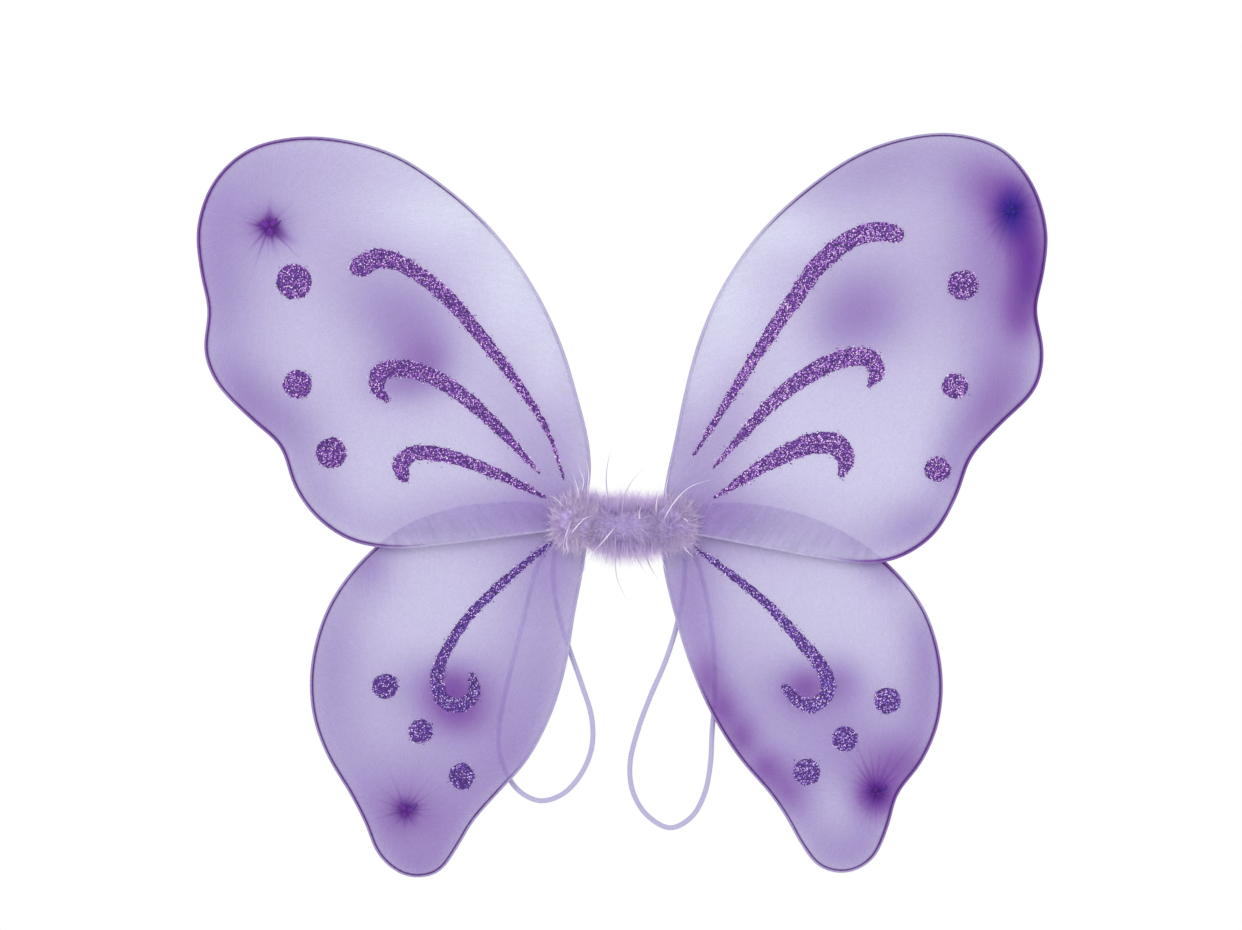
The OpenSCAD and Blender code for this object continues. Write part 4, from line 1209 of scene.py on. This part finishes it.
TUFT_WISPS = {
    "upper_left": [
        [(-30, -24, -5), (-27, -28, -1), (-22, -28, 4), (-17, -26, 5.6)],
        [(-29.5, -23, 4), (-32, -28, -3), (-34, -27, -10), (-34.5, -24, -18)],
        [(-32, -23, -6), (-32.5, -27, -11), (-30, -25, -18)],
        [(-22, -20, -18), (-23, -23, -26), (-27, -21, -33)],
        [(-26, -20, 14), (-26, -24, 20), (-28, -24, 26), (-30, -22, 31)],
        [(-24, -20, 18), (-23, -24, 26), (-25, -24, 31), (-26, -22, 36)],
        [(-21, -20, 20), (-20, -24, 28), (-21.5, -22, 38)],
        [(-34, -20, 10), (-39, -23, 15), (-43, -22, 17)],
    ],
    "upper_right": [
        [(22, -24, 2), (28, -30, 12.5), (37, -30, 21.5), (52, -25, 26.5)],
        [(33, -21, -11), (37, -25, -16), (41, -23, -19)],
        [(24, -20, 14), (24, -25, 22), (26, -24, 30)],
        [(21, -20, -16), (22, -23, -21), (24.5, -22, -27)],
        [(33, -24, 4), (35, -26, 3), (38, -24, -1)],
    ],
}


def tuft(wing, seed):
    """Down on the front of an upper wing's root."""
    side = WINGS[wing][0]
    rng = np.random.default_rng(seed)
    count = TUFT_BARBS
    cx, cy = TUFT_X, layer_y(TUFT_X, 1) - 1.8
    u = rng.uniform(0, TAU, count)
    c = rng.uniform(0.05, 1.0, count)
    s = np.sqrt(1 - c * c)
    d = np.stack([s * np.cos(u), -c, s * np.sin(u)], axis=1)
    r = rng.uniform(0.9, 1.05, count)[:, None]
    x = cx - 1.6 + 9.8 * d[:, 0] * r[:, 0]
    start = np.stack([x, cy + 6.6 * d[:, 1] * r[:, 0], rise(side * x) + 12.0 * d[:, 2] * r[:, 0]], axis=1)
    normal = 0.5 * unit(d * [1.0, 1.0, 1.25])
    lean = combed(side * start[:, 0], start[:, 2]) * [0.8 * side, 1, 0.7]
    lean[:, 0] += 0.2 * np.clip((start[:, 0] - 28) / 10, -0.4, 1)
    aims, bends, shade = clumped(rng, start, normal, 9.0, 0.20, 4.5, lean)
    aims[:, 1] = np.minimum(aims[:, 1], -0.04)
    length = rng.uniform(4.0, 7.0, count) * (1 + 0.8 * (rng.uniform(0, 1, count) > 0.90))
    limit = layer_y(35.0, 1) - 1.4
    end = start + length[:, None] * (unit(aims) + bends)
    low = end[:, 1] > limit
    bends[low, 1] -= (end[low, 1] - limit) / length[low]
    # The left tuft's barbs are drawn lighter than the right's: a painted highlight on the side the key light
    # comes from
    parts = [barbs(start, unit(aims), length, bends, rng.uniform(0.06, 0.12, count),
                   shade * (1.12 if side < 0 else 1.0))]
    number = 54 if side < 0 else 24
    at = rng.uniform(-2.2, 2.4, number)
    ring = rng.uniform(0.5, 1.0, number)
    places = np.stack([cx - 1.0 + 8.0 * ring * np.cos(at), cy - 6.5 + 4.5 * ring,
                       9.5 * ring * np.sin(at)], axis=1)
    away = np.stack([np.cos(at) + rng.normal(0, 0.3, number), rng.uniform(-0.5, -0.1, number),
                     1.2 * np.sin(at) + rng.normal(0, 0.3, number)], axis=1)
    parts.append(locks(rng, places, away, 12.5 if side < 0 else 9.0))
    if side < 0:
        risen = rng.uniform([16, -2.5, 8], [31, 1.5, 12], (14, 3)) + [0, cy - 3.5, 0]
        upward = rng.normal([0, -0.15, 1.0], [0.16, 0.08, 0.05], (14, 3))
        parts.append(locks(rng, risen, upward, 17.0, 9, 0.08))
        parts = [(p * [-1, 1, 1], [face[::-1] for face in f], t) for p, f, t in parts]
    # The left tuft's body is lighter too: the same painted highlight
    ball, faces, tint = matted_body((side * (cx - 3.0), cy, 0.0), (11.4, 6.6, 11.8), 9.0 + seed,
                                    MATTED * (1.12 if side < 0 else 1.04), 0.9)
    ball[:, 1] = np.minimum(ball[:, 1], cy + 0.4)
    parts.append((ball, faces, tint))
    for line in TUFT_WISPS[wing]:
        parts.append(wisp(line, WISP_R, PALE_WISP))
    name = "left" if side < 0 else "right"
    add_barbs("trim_" + name + "_tuft", parts, wing + "_wing", "marabou_tuft_" + name)


tuft("upper_left", LEFT_TUFT_SEED)
tuft("upper_right", RIGHT_TUFT_SEED)

# ---------------------------------------------------------------- CAD pieces that stay

for node, material in (
    ("centre_wires", STEEL), ("centre_tape", TAPE), ("marabou_string", PALE_THREAD),
    ("left_strap_tie", LEAD), ("right_strap_tie", LEAD),
):
    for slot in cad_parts[node].material_slots:
        slot.material = material

# ---------------------------------------------------------------- floor, light


def area_light(name, place, aim, size, power):
    lamp = bpy.data.lights.new(name, "AREA")
    lamp.size = size
    lamp.energy = power
    lamp_object = bpy.data.objects.new(name, lamp)
    lamp_object.location = place
    away = np.array(place) - np.array(aim)
    lamp_object.rotation_euler = (math.atan2(math.hypot(away[0], away[1]), away[2]), 0,
                                  math.atan2(away[1], away[0]) + math.pi / 2)
    bpy.context.scene.collection.objects.link(lamp_object)


area_light("key", (-1.1, -1.7, 1.3), (0, 0, 0), 1.4, 17)
area_light("fill", (1.5, -1.5, 0.3), (0, 0, 0), 1.6, 6)
area_light("back", (0.4, 1.8, 1.2), (0, 0, 0), 1.6, 16)

FLOOR_Z = -600
FLOOR_SIDE = 9000
FLOOR_END = 2400
floor = make_object("floor", [(x, y, FLOOR_Z) for x, y in (
    (-FLOOR_SIDE, -FLOOR_SIDE), (FLOOR_SIDE, -FLOOR_SIDE), (FLOOR_SIDE, FLOOR_END), (-FLOOR_SIDE, FLOOR_END),
)], [(0, 1, 2, 3)], FLOOR)

world = bpy.data.worlds.new("studio")
bpy.context.scene.world = world
world.use_nodes = True
tree = world.node_tree
background = tree.nodes["Background"]
path_node = tree.nodes.new("ShaderNodeLightPath")
strength = tree.nodes.new("ShaderNodeMapRange")
strength.inputs["To Min"].default_value = 0.80
strength.inputs["To Max"].default_value = 1.0
tree.links.new(path_node.outputs["Is Camera Ray"], strength.inputs["Value"])
tree.links.new(strength.outputs["Result"], background.inputs["Strength"])
background.inputs["Color"].default_value = (1.0, 1.0, 1.0, 1.0)
bpy.context.scene.view_settings.view_transform = "Standard"
